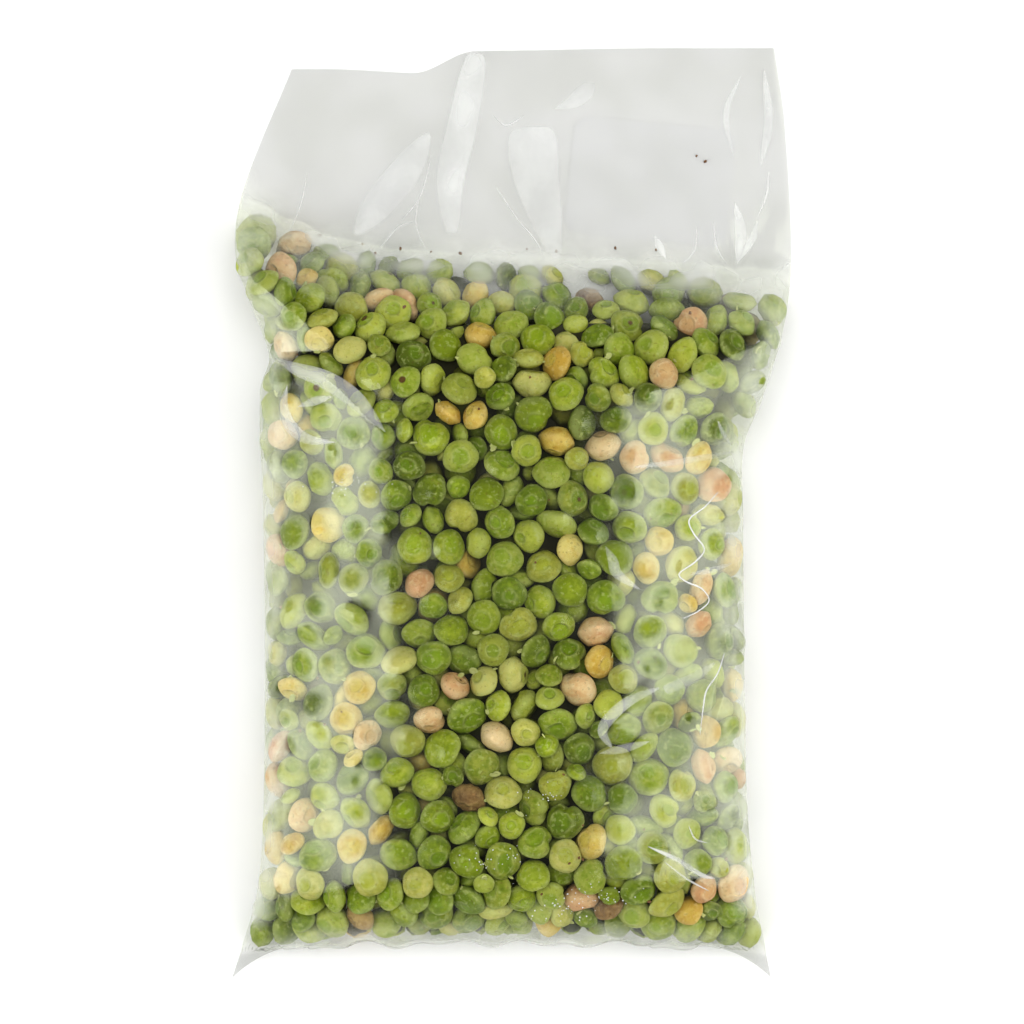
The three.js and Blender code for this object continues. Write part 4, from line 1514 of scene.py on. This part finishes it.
@dataclass(frozen=True)
class FilmFinish:
    """Clear thin film: it mirrors the lights more where it is seen aslant.

    It mirrors less where it touches a pea, and less still where it is slack.
    """

    taut_gain: float = 2.5
    slack_gain: float = 0.7
    touching: float = 0.08
    strongest: float = 0.205
    shadow_share: float = 0.15
    frost_share: float = 0.62

    def build(self) -> bpy.types.Material:
        """Makes the material.

        Returns:
            The film.
        """
        made, wiring = new_material("clear_film")
        place, slack = wiring.place(), wiring.attribute("slack")
        away = wiring.step(wiring.attribute("air_gap"), -0.05, 1.5)
        least = wiring.maths("ADD", wiring.attribute("mist"), self.touching)
        rest = wiring.maths("SUBTRACT", 1.0, least)
        loose = wiring.maths("ADD", wiring.maths("MULTIPLY", away, rest), least)
        gain = wiring.maths("MULTIPLY_ADD", slack, self.slack_gain - self.taut_gain, self.taut_gain)
        gain = wiring.maths("MULTIPLY", gain, wiring.attribute("shine"))
        ripples = wiring.noise(place, 7.0, 0)
        bump = wiring.node("ShaderNodeBump", Strength=0.6, Distance=0.16 * MM, Height=ripples)
        one_side = wiring.node("ShaderNodeFresnel", IOR=1.5).outputs[0]
        doubled = wiring.maths("MULTIPLY", one_side, 2.0)
        both = wiring.maths("DIVIDE", doubled, wiring.maths("ADD", one_side, 1.0))
        shadow = wiring.node("ShaderNodeLightPath").outputs["Is Shadow Ray"]
        lit = wiring.maths("MULTIPLY", gain, wiring.maths("MULTIPLY_ADD", shadow, self.shadow_share - 1, 1.0))
        mirror = wiring.maths("MULTIPLY", wiring.maths("MULTIPLY", both, loose), lit)
        mirror = wiring.maths("MINIMUM", mirror, self.strongest)
        rough = wiring.maths("MULTIPLY_ADD", wiring.attribute("frost"), 0.08, 0.17)
        gloss = wiring.node(
            "ShaderNodeBsdfGlossy", Color=(0.95, 1, 0.78, 1), Roughness=rough, Normal=bump.outputs[0]
        )
        tones = [(0.0, (0.925, 0.927, 0.925, 1)), (0.6, (0.9, 0.9, 0.899, 1)), (1.0, (0.8, 0.802, 0.798, 1))]
        through_film = wiring.ramp(wiring.attribute("layers"), tones)
        clear = wiring.node("ShaderNodeBsdfTransparent", Color=through_film)
        cloud = wiring.node("ShaderNodeBsdfDiffuse", Color=linear(240, 241, 236))
        frost = wiring.maths("MULTIPLY", wiring.attribute("frost"), self.frost_share)
        kept = wiring.maths("SUBTRACT", 1.0, wiring.maths("MULTIPLY", shadow, 0.8))
        seen = wiring.maths("MULTIPLY", frost, kept)
        fogged = wiring.node("ShaderNodeMixShader", Fac=seen)
        wiring.feed(fogged.inputs[1], clear.outputs[0])
        wiring.feed(fogged.inputs[2], cloud.outputs[0])
        mixed = wiring.node("ShaderNodeMixShader", Fac=mirror)
        wiring.feed(mixed.inputs[1], fogged.outputs[0])
        wiring.feed(mixed.inputs[2], gloss.outputs[0])
        wiring.node("ShaderNodeOutputMaterial", Surface=mixed.outputs[0])
        return made


@dataclass(frozen=True)
class PleatFinish:
    """Film that is doubled over, which is milky by its own share: partly the fold's own milkiness and partly
    a painted highlight.
    """

    def build(self) -> bpy.types.Material:
        """Makes the material.

        Returns:
            The doubled film, with its painted highlight.
        """
        made, wiring = new_material("doubled_film_and_highlight")
        patches = wiring.step(wiring.noise(wiring.place(), 9.0, 0), 0.25, 0.75)
        milk_and_highlight = wiring.attribute("milk_and_highlight")
        share = wiring.maths("MULTIPLY", milk_and_highlight, wiring.maths("MULTIPLY_ADD", patches, 0.7, 0.55))
        shadow = wiring.node("ShaderNodeLightPath").outputs["Is Shadow Ray"]
        kept = wiring.maths("SUBTRACT", 1.0, wiring.maths("MULTIPLY", shadow, 0.7))
        shown = wiring.maths("MULTIPLY", share, kept)
        clear = wiring.node("ShaderNodeBsdfTransparent", Color=(0.998, 0.998, 0.998, 1))
        # The white is lit as if it faced straight up, so it shows as an even painted highlight whatever its
        # slope.
        upward = wiring.node("ShaderNodeCombineXYZ", Z=1.0).outputs[0]
        cloud = wiring.node("ShaderNodeBsdfDiffuse", Color=linear(247, 248, 246), Normal=upward)
        mixed = wiring.node("ShaderNodeMixShader", Fac=shown)
        wiring.feed(mixed.inputs[1], clear.outputs[0])
        wiring.feed(mixed.inputs[2], cloud.outputs[0])
        wiring.node("ShaderNodeOutputMaterial", Surface=mixed.outputs[0])
        return made


@dataclass(frozen=True)
class PlainFinish:
    """A matte surface with a faint cloudiness in its colour."""

    name: str
    colour: tuple[int, int, int]
    cloud: tuple[int, int, int]
    cloud_size: float = 6.0
    roughness: float = 0.6

    def build(self) -> bpy.types.Material:
        """Makes the material.

        Returns:
            The matte surface.
        """
        made, wiring = new_material(self.name)
        cloud = wiring.noise(wiring.place(), self.cloud_size, 4)
        skin = wiring.blend(cloud, linear(*self.colour), linear(*self.cloud))
        bump = wiring.node("ShaderNodeBump", Strength=0.1, Distance=0.1 * MM, Height=cloud)
        shader = wiring.node("ShaderNodeBsdfPrincipled", Base_Color=skin, Normal=bump.outputs[0])
        shader.inputs["Roughness"].default_value = self.roughness
        wiring.node("ShaderNodeOutputMaterial", Surface=shader.outputs[0])
        return made


PEA_FINISHES = {
    PeaKind.BRIGHT: PeaFinish(
        "bright_green_skin", (118, 136, 22), (148, 164, 38), (180, 188, 72), (130, 158, 14)
    ),
    PeaKind.GRASS: PeaFinish(
        "grass_green_skin", (100, 122, 22), (134, 154, 36), (166, 176, 72), (116, 148, 14)
    ),
    PeaKind.DEEP: PeaFinish(
        "deep_green_skin", (84, 100, 18), (114, 132, 28), (150, 158, 58), (98, 128, 12)
    ),
    PeaKind.PALE: PeaFinish(
        "pale_green_skin", (150, 154, 52), (178, 178, 76), (202, 198, 110), (156, 168, 42)
    ),
    PeaKind.YELLOW: PeaFinish(
        "yellow_skin", (196, 158, 62), (212, 184, 86), (222, 206, 120), (206, 188, 76), (228, 204, 130)
    ),
    PeaKind.CREAM: PeaFinish(
        "cream_skin", (206, 154, 104), (216, 176, 120), (228, 202, 148), (210, 168, 108), (230, 206, 160)
    ),
    PeaKind.BROWN: PeaFinish(
        "brown_skin", (92, 62, 34), (136, 104, 60), (180, 152, 92), (110, 80, 44), (176, 146, 90)
    ),
}


# Studio


@dataclass(frozen=True)
class Softbox:
    """A large soft light that faces the bag, which slopes of the film mirror."""

    name: str
    near: tuple[float, float, float]
    far: tuple[float, float, float]
    wide: float
    radiance: float

    def build(self) -> None:
        """Puts the light between its near and far edges."""
        near, far = Vector(self.near), Vector(self.far)
        light = bpy.data.lights.new(self.name, "AREA")
        light.shape = "RECTANGLE"
        light.size, light.size_y = (far - near).length * MM, self.wide * MM
        light.energy = self.radiance * math.pi * light.size * light.size_y
        lamp = bpy.data.objects.new(self.name, light)
        middle = (near + far) / 2
        along = (far - near).normalized()
        inward = Vector((0, middle.y, 0)) if middle.x else Vector((0, 0, 0))
        out = inward - middle
        facing = (out - along * out.dot(along)).normalized()
        across = (-facing).cross(along)
        turn = Matrix((along, across, -facing)).transposed().to_4x4()
        lamp.matrix_world = Matrix.Translation(middle * MM) @ turn
        lamp.visible_camera = False
        bpy.context.scene.collection.objects.link(lamp)


@dataclass(frozen=True)
class Studio:
    """The floor, the lights and the camera that looks straight down."""

    camera_height: float = 4000.0
    picture_width: float = 276.5
    picture_height_level: float = 15.0
    left_radiance: float = 2.15
    right_radiance: float = 1.95
    end_radiance: float = 1.2
    fill_radiance: float = 2.5
    fill_reach: float = 1.4

    def build(self) -> None:
        """Sets up the whole studio."""
        self.floor()
        left = Softbox("left_softbox", (-360, -450, 1000), (-1300, -450, 30), 1200, self.left_radiance)
        right = Softbox("right_softbox", (360, -200, 1000), (1300, -200, 30), 1300, self.right_radiance)
        upper = Softbox("upper_softbox", (0, 1250, 330), (0, 1350, 60), 1900, self.end_radiance)
        for box in (left, right, upper):
            box.build()
        self.fill()
        self.surroundings()
        self.camera()

    def floor(self) -> None:
        """A pale floor just under the bag."""
        half, low = 3000.0, -0.05
        corners = np.array([(-half, -half, low), (half, -half, low), (half, half, low), (-half, half, low)])
        floor = mesh_object("floor", corners, [(0, 1, 2, 3)])
        finish = PlainFinish("pale_floor", (253, 253, 253), (254, 254, 254), 400.0, 0.9)
        floor.data.materials.append(finish.build())

    def fill(self) -> None:
        """A soft light overhead that the film doesn't mirror."""
        light = bpy.data.lights.new("overhead_fill", "AREA")
        light.shape = "SQUARE"
        light.size = 1.2
        light.energy = self.fill_radiance * math.pi * self.fill_reach**2
        lamp = bpy.data.objects.new("overhead_fill", light)
        lamp.location = (0, 0.5, 1.6)
        lamp.visible_glossy = False
        lamp.visible_camera = False
        bpy.context.scene.collection.objects.link(lamp)

    def surroundings(self) -> None:
        """Dim even surroundings."""
        world = bpy.data.worlds.new("studio")
        world.use_nodes = True
        world.node_tree.nodes["Background"].inputs["Color"].default_value = (1, 1, 1, 1)
        world.node_tree.nodes["Background"].inputs["Strength"].default_value = 0.03
        bpy.context.scene.world = world

    def camera(self) -> None:
        """A long lens straight above the bag."""
        lens = bpy.data.cameras.new("camera")
        lens.sensor_width = 36
        lens.lens = 36 * (self.camera_height - self.picture_height_level) / self.picture_width
        lens.clip_end = 100
        eye = bpy.data.objects.new("camera", lens)
        eye.location = (0, 0, self.camera_height * MM)
        bpy.context.scene.collection.objects.link(eye)
        scene = bpy.context.scene
        scene.camera = eye
        scene.view_settings.view_transform = "Standard"
        scene.view_settings.look = "None"


def place(piece: bpy.types.Object, slot: str) -> None:
    """Fixes a finished piece to the bag and reports it.

    Args:
        piece: The piece.
        slot: Not used.
    """
    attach(piece, "root")
    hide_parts("pea_bag")
    corners = sum(len(p.vertices) - 2 for p in piece.data.polygons)
    logger.info("%s: %d triangles", piece.name, corners)


def main() -> None:
    """Builds the bag, piece by piece."""
    logging.basicConfig(level=logging.INFO, format="%(message)s")
    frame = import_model()
    form = BagForm.in_box(*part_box("pea_bag"))
    heap = PeaHeap(form)
    maker = PeaMaker(heap, form)
    shapes = maker.shapes()
    for kind in PeaKind:
        place(maker.build(kind, shapes, PEA_FINISHES[kind].build()), "filled_film")
    film = Film(form, heap).build()
    film.data.materials.append(FilmFinish().build())
    place(film, "filled_film")
    pleats = Pleats(film)
    folds = pleats.build()
    folds.data.materials.append(PleatFinish().build())
    place(folds, "filled_film")
    small = SmallThings(heap, form, pleats)
    scrap = PlainFinish("skin_scrap", (176, 188, 96), (206, 208, 140), 1.5)
    place(small.skin_scraps(scrap.build()), "filled_film")
    crumb = PlainFinish("crumb", (96, 62, 34), (140, 96, 56), 1.0)
    place(small.brown_crumbs(crumb.build()), "filled_film")
    ice = PlainFinish("ice", (240, 244, 246), (252, 253, 255), 1.0, 0.3)
    place(small.ice_grains(ice.build()), "filled_film")
    for group in bpy.data.collections:
        if group.name.endswith("_shapes"):
            for shape in list(group.objects):
                bpy.data.objects.remove(shape)
    # The heap's dark core, painted shade behind the peas that show.
    core = HeapShadeCore(form).build()
    core.data.materials.append(PlainFinish("heap_shadow", (36, 34, 20), (52, 52, 28), 5.0).build())
    place(core, "filled_film")
    label = frame["nodes"]["label"]
    label.data.materials.clear()
    label.data.materials.append(PlainFinish("label_paper", (251, 251, 253), (254, 254, 255)).build())
    Studio().build()


if __name__ == "__main__":
    main()
